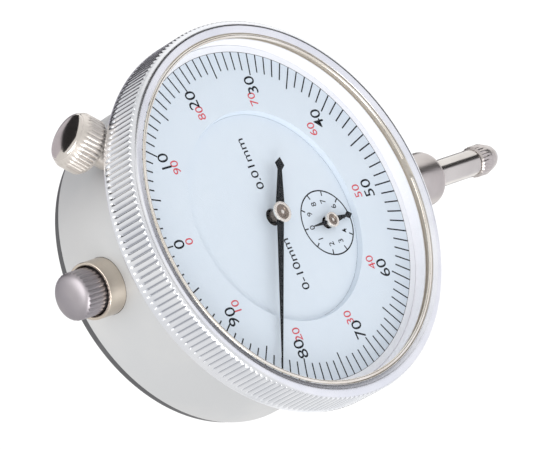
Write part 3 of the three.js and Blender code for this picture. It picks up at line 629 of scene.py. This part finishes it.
# %% Crystal and snap ring
glass_r = radius_of("crystal")
lens = turn([
    (0, crystal_back), (glass_r, crystal_back, 0.1), (glass_r, crystal_front, 0.15), (0, crystal_front),
], 192)
finish_piece("clear_crystal", lens, DIAL_BENCH, "bezel", "crystal", ["crystal"])


def snap_ring():
    back, front = on_dial("crystal_snap_ring")
    outer = radius_of("crystal_snap_ring")
    wire_r = (front - back) / 2
    gap = math.radians(6.8)
    shape = bmesh.new()
    flatness = 1.5  # the wire is this many times as wide as it is high
    centre_r = outer - wire_r * flatness
    lay = Matrix.Translation((centre_r, 0, back + wire_r)) @ Matrix.Rotation(math.pi / 2, 4, "X")
    wide = Matrix.Diagonal((flatness, 1, 1, 1))
    bmesh.ops.create_circle(shape, cap_ends=True, radius=wire_r, segments=16, matrix=lay @ wide)
    shape.transform(Matrix.Rotation(gap / 2 - math.pi / 2, 4, "Z"))
    bmesh.ops.spin(
        shape, geom=shape.verts[:] + shape.edges[:] + shape.faces[:], cent=(0, 0, 0), axis=(0, 0, 1),
        angle=2 * math.pi - gap, steps=180,
    )
    bmesh.ops.recalc_face_normals(shape, faces=shape.faces)
    return shape


finish_piece("snap_ring", snap_ring(), DIAL_BENCH, "bezel", "ring_wire", ["crystal_snap_ring"])

# %% [markdown]
# ## The two dials
# The graduated ring turns with the bezel. The disc in its middle stays with the case, a little
# deeper, and has holes for the two arbors. The disc is a plate with holes, so it is filled between
# three circles and thickened, which leaves clean round holes without a boolean.

# %% Dial ring and centre dial
split_r = radius_of("centre_dial")
ring_in = split_r + 0.02
ring_back, ring_face = on_dial("dial_ring")
centre_back, centre_face = on_dial("centre_dial")
ring_out = radius_of("dial_ring")
plate = turn([
    (ring_in, ring_back), (ring_out, ring_back), (ring_out, ring_face, 0.05), (ring_in + 0.3, ring_face),
    (ring_in, centre_face),
], 256)
finish_piece("graduated_ring", plate, DIAL_BENCH, "bezel", "dial_face", ["dial_ring"])

counter_x, counter_y = arbor_at("counter_turn")


def holed_plate(radius, back, face, holes):
    shape = bmesh.new()
    edges = []
    for x, y, r, sides in [(0, 0, radius, 192), *holes]:
        at = Matrix.Translation((x, y, face))
        made = bmesh.ops.create_circle(shape, radius=r, segments=sides, matrix=at)
        edges += list({edge for vertex in made["verts"] for edge in vertex.link_edges})
    bmesh.ops.triangle_fill(shape, edges=edges, use_beauty=True)
    bmesh.ops.recalc_face_normals(shape, faces=shape.faces)
    thicken(shape, (0, 0, back - face))
    return shape


centre_holes = [(0, 0, 1.25, 64), (counter_x, counter_y, 0.9, 48)]
disc = holed_plate(split_r, centre_back, centre_face, centre_holes)
finish_piece("centre_disc", disc, DIAL_BENCH, "case", "dial_face", ["centre_dial"])

# %% [markdown]
# ## Print
# Graduations, numbers and circles are ink. They could be an image, but ink made as geometry stays
# sharp at any distance and needs no texture: each stroke is a thin slab half sunk in the dial. One
# black scale of a hundred divisions reads clockwise, and a red one reads the other way.

# %% Printing tools
INK = 0.03  # thickness of the ink slab, half of it below the surface


def strokes(shape, count, outer, inner_of, width, height, centre=(0, 0)):
    """Radial strokes round a centre: inner_of(i) gives where stroke i ends."""
    for i in range(count):
        inner = inner_of(i)
        spin_to = Matrix.Rotation(-2 * math.pi * i / count, 4, "Z")
        size = Matrix.Diagonal((width, outer - inner, INK, 1))
        bar = Matrix.Translation((0, (outer + inner) / 2, 0)) @ size
        place = Matrix.Translation((*centre, height)) @ spin_to @ bar
        bmesh.ops.create_cube(shape, size=1, matrix=place)


def ring_line(shape, radius, width, height, centre=(0, 0), sides=192):
    inner, outer = radius - width / 2, radius + width / 2
    low, high = height - INK / 2, height + INK / 2
    line = turn([(inner, low), (outer, low), (outer, high), (inner, high)], sides)
    line.transform(Matrix.Translation((*centre, 0)))
    add_mesh(shape, as_object(line, "line").data)


def add_mesh(shape, mesh):
    shape.from_mesh(mesh)
    bpy.data.meshes.remove(mesh)


def lettering(shape, text, high, height, centre, wide=None, stretch=1.0, weight=0.0):
    """Characters `high` millimetres tall, centred on a point, and `wide` across or stretched."""
    curve = bpy.data.curves.new("type", "FONT")
    curve.body, curve.extrude, curve.offset = text, INK / 2 / high, weight
    curve.resolution_u = 4
    type_object = bpy.data.objects.new("type", curve)
    bpy.context.scene.collection.objects.link(type_object)
    bpy.context.view_layer.update()
    mesh = evaluated_mesh(type_object)
    bpy.data.curves.remove(curve)
    xs, ys = [v.co.x for v in mesh.vertices], [v.co.y for v in mesh.vertices]
    scale = high / (max(ys) - min(ys))
    across = wide / (max(xs) - min(xs)) if wide else scale * stretch
    middle = Matrix.Translation((-(max(xs) + min(xs)) / 2, -(max(ys) + min(ys)) / 2, 0))
    size = Matrix.Diagonal((across, scale, high, 1))
    mesh.transform(Matrix.Translation((*centre, height)) @ size @ middle)
    add_mesh(shape, mesh)


print("ink is", INK, "mm thick")

# %% [markdown]
# ## The two scales
# The black scale has a longer stroke at each five and each ten, with numbers inside the tens. The red
# scale is only numbers. All numbers stand upright, and the whole print turns with the ring.

# %% Print on the graduated ring
DIVISIONS = 100
NUMBERS_R = 19.3
RED_NUMBERS_R = 17.2
TEN_STROKE_IN, FIVE_STROKE_IN, STROKE_IN = 20.7, 20.4, 21.3  # radius where each kind of stroke ends
RING_TURN = Matrix.Rotation(math.radians(-1.16), 4, "Z")  # the bezel is left a little past the top


def tick_end(i):
    return TEN_STROKE_IN if i % 10 == 0 else FIVE_STROKE_IN if i % 5 == 0 else STROKE_IN


def around(radius, degrees, lift):
    angle = math.radians(degrees)
    return radius * math.sin(angle), radius * math.cos(angle) + lift


scale_print = bmesh.new()
strokes(scale_print, DIVISIONS, DIAL_PRINT_R, tick_end, 0.2, ring_face)
ring_line(scale_print, DIAL_PRINT_R, 0.05, ring_face)
red_print = bmesh.new()
for tens in range(0, DIVISIONS, 10):
    degrees = tens * 360 / DIVISIONS
    place = around(NUMBERS_R, degrees, 0.25)
    lettering(scale_print, str(tens), 1.9, ring_face, place, stretch=1.05, weight=0.002)
    red = str((DIVISIONS - tens) % DIVISIONS)
    lettering(red_print, red, 1.4, ring_face, around(RED_NUMBERS_R, degrees, 0.4), stretch=1.05)
finish_piece("scale_print", scale_print, DIAL_BENCH @ RING_TURN, "bezel", "black_ink")
finish_piece("red_scale_print", red_print, DIAL_BENCH @ RING_TURN, "bezel", "red_ink")

# %% [markdown]
# ## The millimetre counter
# A small circle round the counter arbor counts whole turns of the long pointer. Its numbers run
# anticlockwise, because that arbor turns the other way. The unit and the range stand beside it.

# %% Print on the centre dial
COUNTER_PRINT_R = 4.7
COUNTER_STROKE_IN = 3.95
COUNTER_DIGITS_R = 3.15
centre_print = bmesh.new()
counter_centre = (counter_x, counter_y)
ring_line(centre_print, COUNTER_PRINT_R, 0.19, centre_face, counter_centre, 96)
strokes(centre_print, 10, COUNTER_PRINT_R, lambda i: COUNTER_STROKE_IN, 0.18, centre_face, counter_centre)
for digit in range(10):
    x, y = around(COUNTER_DIGITS_R, -36 * digit, 0)
    lettering(centre_print, str(digit), 0.95, centre_face, (counter_x + x, counter_y + y), weight=0.002)
for words, x in (("0-10mm", -7.1), ("0.01mm", 7.9)):
    lettering(centre_print, words, 1.4, centre_face, (x, -0.2), wide=7.5, weight=0.002)
finish_piece("centre_print", centre_print, DIAL_BENCH, "case", "black_ink")

# %% [markdown]
# ## Pointers
# Both pointers are cut from thin sheet and painted black: a long taper, a round boss, and a tail with
# an arrow head that balances the blade. An outline of a few corners and one arc for the boss is
# filled, given its thickness and its edges broken. Each is pinned down by a turned plated cap, with
# a ring groove and the end of the arbor showing in the middle.

# %% Pointers
pointer_low, pointer_high = on_dial("main_pointer")
counter_low, counter_high = on_dial("counter_pointer")
blade_angle = math.radians(-301.4)  # where the long pointer rests


def pointer(reach, half, boss, tail, arrow_half, arrow_long, low, high):
    """A pointer along +y, drawn anticlockwise from the tip."""
    left = [(-0.06, reach), (-half, boss * 0.8)]
    left += arc(0, 0, boss, boss, 130, 230, 10)
    left += [(-half * 0.62, arrow_long - tail), (-arrow_half, arrow_long * 0.55 - tail)]
    right = [(-x, y) for x, y in reversed(left)]
    shape = bmesh.new()
    outline = [shape.verts.new((x, y, high)) for x, y in [*left, (0, -tail), *right]]
    shape.faces.new(outline)
    thicken(shape, (0, 0, low - high))
    rim = [edge for edge in shape.edges if edge.verts[0].co.z == edge.verts[1].co.z]
    bmesh.ops.bevel(
        shape, geom=rim, offset=0.03, affect="EDGES", segments=2, profile=0.5, material=-1,
        clamp_overlap=True,
    )
    return shape


def hub(radius, back, front, bore, collar_r, collar_end):
    """A plated cap with a ring groove, on a collar that carries the pointer."""
    arbor_top, groove, land = front - 0.05, front - 0.12, front - 0.02
    return turn([
        (0, arbor_top), (bore * 0.5, arbor_top), (bore * 0.55, groove), (radius * 0.42, groove),
        (radius * 0.47, land, 0.02), (radius * 0.66, land, 0.02), (radius * 0.7, front - 0.06),
        (radius * 0.75, front, 0.02), (radius, front, 0.08), (radius, back, 0.05), (collar_r, back),
        (collar_r, collar_end, 0.05), (bore, collar_end), (bore, back), (0, back),
    ], 96)


def pin_down(piece, node, body, bench_matrix, arbor, metal, bore, collar_r):
    """The turned cap that holds a pointer on its arbor."""
    back, front = on_dial(node)
    radius = radius_of(node)
    finishes[metal] = hub_metal(metal, arbor, radius)
    cap = hub(radius, back, front, bore, collar_r, centre_face - 0.3)
    finish_piece(piece, cap, bench_matrix, body, metal, [node])


long_blade = pointer(
    reach=23.8, half=0.57, boss=1.2, tail=8.6, arrow_half=0.8, arrow_long=1.9,
    low=pointer_low, high=pointer_high,
)
long_blade.transform(Matrix.Rotation(blade_angle, 4, "Z"))
finish_piece(
    "long_pointer", long_blade, DIAL_BENCH, "centre_train", "pointer_black",
    ["main_pointer"], crease=50,
)
pin_down("pointer_cap", "pointer_hub_cap", "centre_train", DIAL_BENCH, (0, 0), "centre_hub", 0.55, 0.85)

COUNTER_BENCH = DIAL_BENCH @ Matrix.Translation((counter_x, counter_y, 0))
short_blade = pointer(
    reach=3.6, half=0.3, boss=0.85, tail=4.6, arrow_half=0.55, arrow_long=1.3,
    low=counter_low, high=counter_high,
)
finish_piece(
    "short_pointer", short_blade, COUNTER_BENCH, "counter_train", "pointer_black",
    ["counter_pointer"], crease=50,
)
pin_down(
    "counter_cap", "counter_hub_cap", "counter_train", COUNTER_BENCH, counter_centre, "counter_hub",
    0.45, 0.62,
)

# %% [markdown]
# ## Case
# The case is a turned cup that is open at both ends, with a ledge in front for the movement and one
# behind for the cover. It is drilled for the stem, for the bush opposite, and for the thumb screw,
# and the drills are real cylinders here as well.

# %% Case
case_back, case_front = on_dial("case_shell")
stem_r = radius_of("stem")
HOLE_ROOM = 0.04


def upright(shape):
    """From the spindle's axes to the dial's bench."""
    return moved(shape, DIAL_BENCH.inverted() @ SPINDLE_BENCH)


def case():
    inner = case_r - 1.8
    waist_r, front_lip_r, back_lip_r = case_r - 0.4, inner - 3.1, inner - 2.7
    front_ledge = on_dial("front_plate")[0] - 0.05
    back_ledge = case_back + 1.6
    cup = turn([
        (case_r, case_back, 0.25), (case_r, wire_low - 0.2), (waist_r, wire_low - 0.2),
        (waist_r, wire_high + 0.2), (case_r, wire_high + 0.2), (case_r, case_front, 0.15),
        (inner, case_front, 0.1), (inner, front_ledge), (front_lip_r, front_ledge),
        (front_lip_r, front_ledge - 1.5), (inner, front_ledge - 1.5), (inner, back_ledge),
        (back_lip_r, back_ledge), (back_lip_r, case_back, 0.1),
    ], 256)
    bush_hole_r = radius_of("upper_bush") + HOLE_ROOM
    for tool in (
        upright(rod(stem_r + HOLE_ROOM, DIAL_CENTRE.z - 30, DIAL_CENTRE.z - 15, 96)),
        upright(rod(bush_hole_r, DIAL_CENTRE.z + 15, DIAL_CENTRE.z + 30, 96)),
        moved(rod(1.5, 15, 30), DIAL_BENCH.inverted() @ CLAMP_BENCH),
    ):
        cup = combine(cup, tool)
    return cup


finish_piece("case", case(), DIAL_BENCH, "case", "satin_case", ["case_shell"])

# %% [markdown]
# ## Back cover and lug
# The back cover is a dark painted plate, and its lug takes the bolt that holds the indicator on a
# stand. The lug is an outline with one round end, thickened and with its edges broken, joined to the
# plate and drilled. The plate has a hole for each of its four screws.

# %% Back cover
cover_front = case_back - 0.05
cover_back = case_back - 1.5
cover_r = radius_of("back_cover")
lug_end = on_dial("back_cover")[0]
LUG_R = 6
LUG_THICK = 5
LUG_HOLE_R = 3.25


def lug():
    """Drawn in y and z of the dial's bench, thick along x."""
    hole_z = lug_end + LUG_R
    root = cover_back + 0.7  # sunk in the plate
    shape = bmesh.new()
    outline = [(-LUG_R, root), *arc(0, hole_z, LUG_R, LUG_R, -180, 0, 40), (LUG_R, root)]
    shape.faces.new([shape.verts.new((-LUG_THICK / 2, y, z)) for y, z in outline])
    thicken(shape, (LUG_THICK, 0, 0))
    rim = [edge for edge in shape.edges if edge.verts[0].co.x == edge.verts[1].co.x]
    bmesh.ops.bevel(shape, geom=rim, offset=0.35, affect="EDGES", segments=3, profile=0.5, material=-1)
    across = Matrix.Translation((0, 0, hole_z)) @ Matrix.Rotation(math.pi / 2, 4, "Y")
    mouth_r = LUG_HOLE_R + 1.75
    bit = turn([
        (0, -4), (mouth_r, -4), (LUG_HOLE_R, -2.25), (LUG_HOLE_R, 2.25), (mouth_r, 4), (0, 4),
    ], 96)
    return combine(shape, moved(bit, across))


screw_places = []
for number in (1, 2, 3, 4):
    low, high = corners(f"cover_screw_{number}")
    screw_places.append(((low.x + high.x) / 2, (low.z + high.z) / 2 - DIAL_CENTRE.z))


def back_cover():
    plate = turn([
        (0, cover_front), (cover_r, cover_front, 0.1), (cover_r, cover_back, 0.4), (0, cover_back),
    ], 256)
    for x, y in screw_places:
        hole = rod(1.0, cover_back - 1, cover_front + 1, 48)
        plate = combine(plate, moved(hole, Matrix.Translation((x, y, 0))))
    return combine(plate, lug(), "UNION")


finish_piece("cover", back_cover(), DIAL_BENCH, "case", "dark_cover", ["back_cover"])

# %% [markdown]
# ## Cover screws
# A cheese-head screw is a low cylinder with a rounded edge and a sawn slot. One function makes it, and
# each copy is turned by another angle, since screws never stop in the same place.

# %% Cover screws
def cheese_head(head_r, head_high, shank_r, shank_long):
    """Head up from height 0, shank down. The slot is as deep as half the head."""
    body = turn([
        (0, -shank_long), (shank_r - 0.15, -shank_long), (shank_r, 0.15 - shank_long), (shank_r, 0),
        (head_r, 0, 0.06), (head_r, head_high - 0.12, 0.08), (head_r * 0.82, head_high, 0.2),
        (0, head_high),
    ], 64)
    return combine(body, block(0.5, 2.4 * head_r, head_high, (0, 0, head_high * 0.98)))


SCREW_HEAD_R = 1.7
SCREW_SHANK_R = 0.8
screw_seat = cover_back - 0.05
facing_back = Matrix.Rotation(math.pi, 4, "Y")
for number, (x, y) in enumerate(screw_places, 1):
    back, front = on_dial(f"cover_screw_{number}")
    shape = cheese_head(SCREW_HEAD_R, screw_seat - back, SCREW_SHANK_R, front - cover_back)
    shape.transform(Matrix.Rotation(math.radians(37 * number), 4, "Z"))
    place = Matrix.Translation((x, y, screw_seat)) @ facing_back
    finish_piece(
        f"slotted_screw_{number}", shape, DIAL_BENCH @ place, "case", "steel",
        [f"cover_screw_{number}"],
    )

# %% [markdown]
# ## Stem and bush
# The spindle runs in two bearings. Below, the long stem ends in a rounded nose, and it is where a
# holder clamps the indicator. Above, a short bush is turned as a cup that the lifting cap sinks into
# when the spindle is down.

# %% Stem and upper bush
stem_low, stem_high = corners("stem")
spindle_r = 2.0
bore = spindle_r + 0.1
NOSE_R = 2.55
NOSE_HIGH = 1.4
nose = arc(NOSE_R, stem_low.z + NOSE_HIGH, stem_r - NOSE_R, -NOSE_HIGH, 0, 90, 12)
stem = turn([
    (bore, stem_high.z), (stem_r, stem_high.z, 0.1), *nose, (bore + 0.15, stem_low.z),
    (bore, stem_low.z + 0.15),
])
finish_piece("stem_tube", stem, SPINDLE_BENCH, "case", "satin_steel", ["stem"])

bush_low, bush_high = corners("upper_bush")
bush_r = radius_of("upper_bush")
cup_floor = corners("lifting_cap")[0].z - 0.3
cup_r = bush_r - 0.45
bush = turn([
    (bore, bush_low.z), (bush_r, bush_low.z), (bush_r, bush_high.z, 0.16), (cup_r, bush_high.z, 0.14),
    (cup_r, cup_floor, 0.2), (bore, cup_floor),
])
finish_piece("bush", bush, SPINDLE_BENCH, "case", "nickel", ["upper_bush"])

# %% [markdown]
# ## Spindle
# The spindle is a ground rod. The teeth of its rack are milled straight across one side, so rings are
# spun at the height of every flank and the vertices beyond the milling line are brought back to it,
# which leaves true flats. Below, it carries the contact point, and above, the lifting cap.

# %% Spindle with its rack
spindle_low, spindle_high = corners("spindle")
RACK_PITCH = 0.625
RACK_TIP_X = -1.67
RACK_ROOT_X = -1.25
TOOTH_ROOT_HALF, TOOTH_TIP_HALF = 0.11, 0.24  # half the width of a gap, at its root and at the tips


def spindle():
    shoulder = cup_floor + 0.25
    level = Vector(joints["counter_turn"]["pos_m"]).z / MM
    gaps = [level + i * RACK_PITCH for i in range(-18, 3)]
    flanks = ((-TOOTH_TIP_HALF, 0), (-TOOTH_ROOT_HALF, 1), (TOOTH_ROOT_HALF, 1), (TOOTH_TIP_HALF, 0))
    rings = [(z + step, deep) for z in gaps for step, deep in flanks]
    start, end = rings[0][0] - 0.4, rings[-1][0] + 0.4
    wall = [(spindle_r, z) for z in (start - 0.001, start, *[z for z, deep in rings], end, end + 0.001)]
    thread_r = 1.2
    shape = turn([
        (0, spindle_low.z), (spindle_r, spindle_low.z, 0.15), *wall, (spindle_r, shoulder, 0.1),
        (thread_r, shoulder), (thread_r, spindle_high.z, 0.2), (0, spindle_high.z),
    ], 96)
    deep_levels = {round(z, 3) for z, deep in rings if deep}
    for vertex in shape.verts:
        if start - 0.0005 <= vertex.co.z <= end + 0.0005:
            limit = RACK_ROOT_X if round(vertex.co.z, 3) in deep_levels else RACK_TIP_X
            vertex.co.x = max(vertex.co.x, limit)
    return shape


finish_piece("measuring_spindle", spindle(), SPINDLE_BENCH, "spindle", "steel", ["spindle"])

# %% [markdown]
# ## Lifting cap
# The lifting cap is screwed on the top of the spindle, so that the spindle can be raised by hand. It
# is a short knurled knob with a low rounded dome. The dome is a flattened arc rather than a bevel on
# a cylinder, because the grooves then run out over it in points, as they do on a real knurl.

# %% Lifting cap
CAP_TEETH = 30
cap_low, cap_high = corners("lifting_cap")
cap_r = radius_of("lifting_cap")


def lifting_cap():
    dome_high = 0.9
    edge = cap_high.z - dome_high
    dome = [(cap_r * x ** 0.6, edge + dome_high * y) for x, y in arc(0, 0, 1, 1, 0, 90, 18)[:-1]]
    side = [(cap_r, z) for z in (cap_low.z + 0.25, cap_low.z + 0.5, edge - 0.3)]
    bore_r, bore_end = 1.3, cap_low.z + 3.8
    shape = turn([
        (bore_r, cap_low.z), (cap_r - 0.2, cap_low.z, 0.08), *side, *dome, (0, cap_high.z), (0, bore_end),
        (bore_r, bore_end),
    ], CAP_TEETH * STEPS_PER_TOOTH)
    return knurl(shape, CAP_TEETH, cap_r - 0.16, cap_r, cap_low.z, cap_high.z, 0.4)


finish_piece("cap", lifting_cap(), SPINDLE_BENCH, "spindle", "grey_nickel", ["lifting_cap"])

# %% [markdown]
# ## Contact point and ball
# The contact point is a separate screw in the bottom of the spindle, and a hard ball is pressed in
# its tip. It has a short knurled collar to grip and a blunt tapered nose.

# %% Contact point and ball
POINT_TEETH = 24
point_low, point_high = corners("contact_point")
ball_low, ball_high = corners("contact_ball")
collar_r = radius_of("contact_point")


def contact_point():
    shoulder = point_high.z - 3.6
    end = point_low.z
    collar_long = 2.15
    thread_r = 1.1
    side = [(collar_r, shoulder - step) for step in (collar_long, 1.9, 1.6, 1.3, 1.0, 0.4, 0.25)]
    shape = turn([
        (0, end + 0.4), (1.0, end), (1.45, end, 0.05), (1.75, end + 0.3), (2.0, end + 0.9),
        (2.2, end + 1.7), *side, (2.05, shoulder, 0.08), (thread_r, shoulder),
        (thread_r, point_high.z, 0.2), (0, point_high.z),
    ], POINT_TEETH * STEPS_PER_TOOTH)
    return knurl(shape, POINT_TEETH, collar_r - 0.13, collar_r, shoulder - collar_long, shoulder, 1.3)


finish_piece("point", contact_point(), SPINDLE_BENCH, "spindle", "satin_steel", ["contact_point"])

ball_r = 1.5
ball_centre = ball_low.z + ball_r
ball_top = math.degrees(math.asin((ball_high.z - ball_centre) / ball_r))
ball_side = arc(0, ball_centre, ball_r, ball_r, -90, ball_top, 20)[1:]
ball = turn([(0, ball_low.z), *ball_side, (0, ball_high.z)], 96)
finish_piece("ball", ball, SPINDLE_BENCH, "spindle", "ball", ["contact_ball"])

# %% [markdown]
# ## Thumb screw
# The thumb screw draws a shoe against the bezel and so locks the dial. Its head is knurled, with a
# bright bevelled edge and a polished, slightly domed face.

# %% Thumb screw
CLAMP_TEETH = 36
clamp_head_r = 4.0


def thumb_screw():
    tip, neck, under, knurl_low, knurl_high, edge, top = 17.6, 23.9, 26.7, 27.3, 29.7, CLAMP_FACE, 31.25
    thread_r, neck_r, face_r = 1.2, 1.7, 3.4
    dome = arc(0, edge, face_r, top - edge, 0, 90, 16)[:-1]
    side = [(clamp_head_r, z) for z in (knurl_low, knurl_low + 0.3, knurl_high - 0.3, knurl_high)]
    shape = turn([
        (0, tip), (thread_r - 0.15, tip), (thread_r, tip + 0.15), (thread_r, neck), (neck_r, neck),
        (neck_r, under), (clamp_head_r - 0.45, under, 0.1), *side, (3.75, knurl_high + 0.5),
        (face_r + 0.1, edge - 0.05, 0.04), *dome, (0, top),
    ], CLAMP_TEETH * STEPS_PER_TOOTH)
    return knurl(shape, CLAMP_TEETH, clamp_head_r - 0.16, clamp_head_r, under, edge - 0.1, 0.5)


finish_piece(
    "thumb_screw", thumb_screw(), CLAMP_BENCH, "clamp_screw", "pale_nickel", ["clamp_screw"],
)

# %% [markdown]
# ## The parts inside
# Plates, wheels, arbors and springs stay as the frame has them, because the case and dial hide them
# and their shapes are already right. Each still gets its own finish, from its slot in the record.

# %% Finishes for the hidden parts
for row in frame["record"]["subparts"]:
    node = frame["nodes"][row["node"]]
    for material_slot in node.material_slots:
        material_slot.material = finishes[row["material_slot"]]
# painted shade: the front plate is painted black, so the dial's holes look dark as shade
for material_slot in frame["nodes"]["front_plate"].material_slots:
    material_slot.material = finishes["shade_black"]  # so that no brass shines through the dial's holes
print("finishes given to", len(frame["nodes"]), "frame parts")

# %% [markdown]
# ## Studio
# Bright metal shows its surroundings, so the room is as much a part of the look as the finish is. A
# white floor and a white room give the clean plating. A few grey and dark cards, which only mirrors
# show, give the knurls, the shaft, the rim and the polished screw face their darker lines. Large soft
# lights add a gentle direction.

# %% Floor, cards and lights
scene = bpy.context.scene
scene.view_settings.view_transform = "Standard"
world = bpy.data.worlds.new("room")
world.use_nodes = True
background = world.node_tree.nodes["Background"]
background.inputs["Color"].default_value = (1, 1, 1, 1)
background.inputs["Strength"].default_value = 0.85
scene.world = world


def card(name, width, height, centre, towards, colour):
    """A flat card that faces a point, in metres."""
    shape = bmesh.new()
    bmesh.ops.create_grid(shape, x_segments=1, y_segments=1, size=0.5)
    aim = (Vector(towards) - Vector(centre)).to_track_quat("Z", "Y").to_matrix().to_4x4()
    shape.transform(Matrix.Translation(centre) @ aim @ Matrix.Diagonal((width, height, 1, 1)))
    made = as_object(shape, name)
    made.data.materials.append(Recipe(name, {"Roughness": 0.9, "Base Color": rgb(colour)}).material)
    made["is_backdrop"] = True
    return made


FLOOR_DROP = 0.30
floor_height = cad_low.z - FLOOR_DROP
card("floor", 8, 8, (0, 0, floor_height), (0, 0, 1), "f4f4f4")
middle = DIAL_CENTRE * MM

# Only mirrors show these cards: they dim no surface and throw no shadow.
for name, width, height, direction, distance, colour in (
    ("side_card", 0.14, 0.30, (0.84, 0.57, 0.08), 0.36, "121013"),
    ("side_shade", 0.20, 0.26, (0.56, 0.87, -0.13), 0.36, "b4b0b8"),
    ("low_shade", 0.14, 0.14, (0.58, 0.68, -0.45), 0.36, "8a888e"),
    ("front_card", 0.09, 0.34, (0.36, -0.58, -0.73), 0.26, "1c1a1c"),
    ("back_card", 0.30, 0.06, (0.15, 0.60, -0.79), 0.27, "4a484a"),
    ("level_card", 0.60, 0.09, (0.10, -0.98, 0.07), 0.80, "8a888c"),
    ("ground_card", 0.50, 0.50, (-0.35, -0.45, -0.80), 0.30, "e6e6ec"),
):
    made = card(name, width, height, middle + Vector(direction).normalized() * distance, middle, colour)
    made.visible_camera = made.visible_diffuse = made.visible_shadow = False

for name, side, offset, watts in (
    ("left_softbox", 0.8, (-0.9, -0.5, 0.8), 9),
    ("top_softbox", 0.9, (0.3, 0.1, 1.2), 6),
):
    light = bpy.data.lights.new(name, "AREA")
    light.shape, light.size, light.size_y, light.energy = "RECTANGLE", side, side, watts
    made = bpy.data.objects.new(name, light)
    scene.collection.objects.link(made)
    aim = Vector(offset).to_track_quat("Z", "Y").to_matrix().to_4x4()
    made.matrix_world = Matrix.Translation(middle + Vector(offset)) @ aim
print("floor at", round(floor_height / MM), "mm")

# %% [markdown]
# ## Size
# The size of the box round all visual pieces is printed, in millimetres. The visual
# pieces must stay inside the box of the frame.

# %% Print the size of the visual pieces
low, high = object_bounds()
print("visual box", [round(side / MM, 2) for side in high - low], "mm")
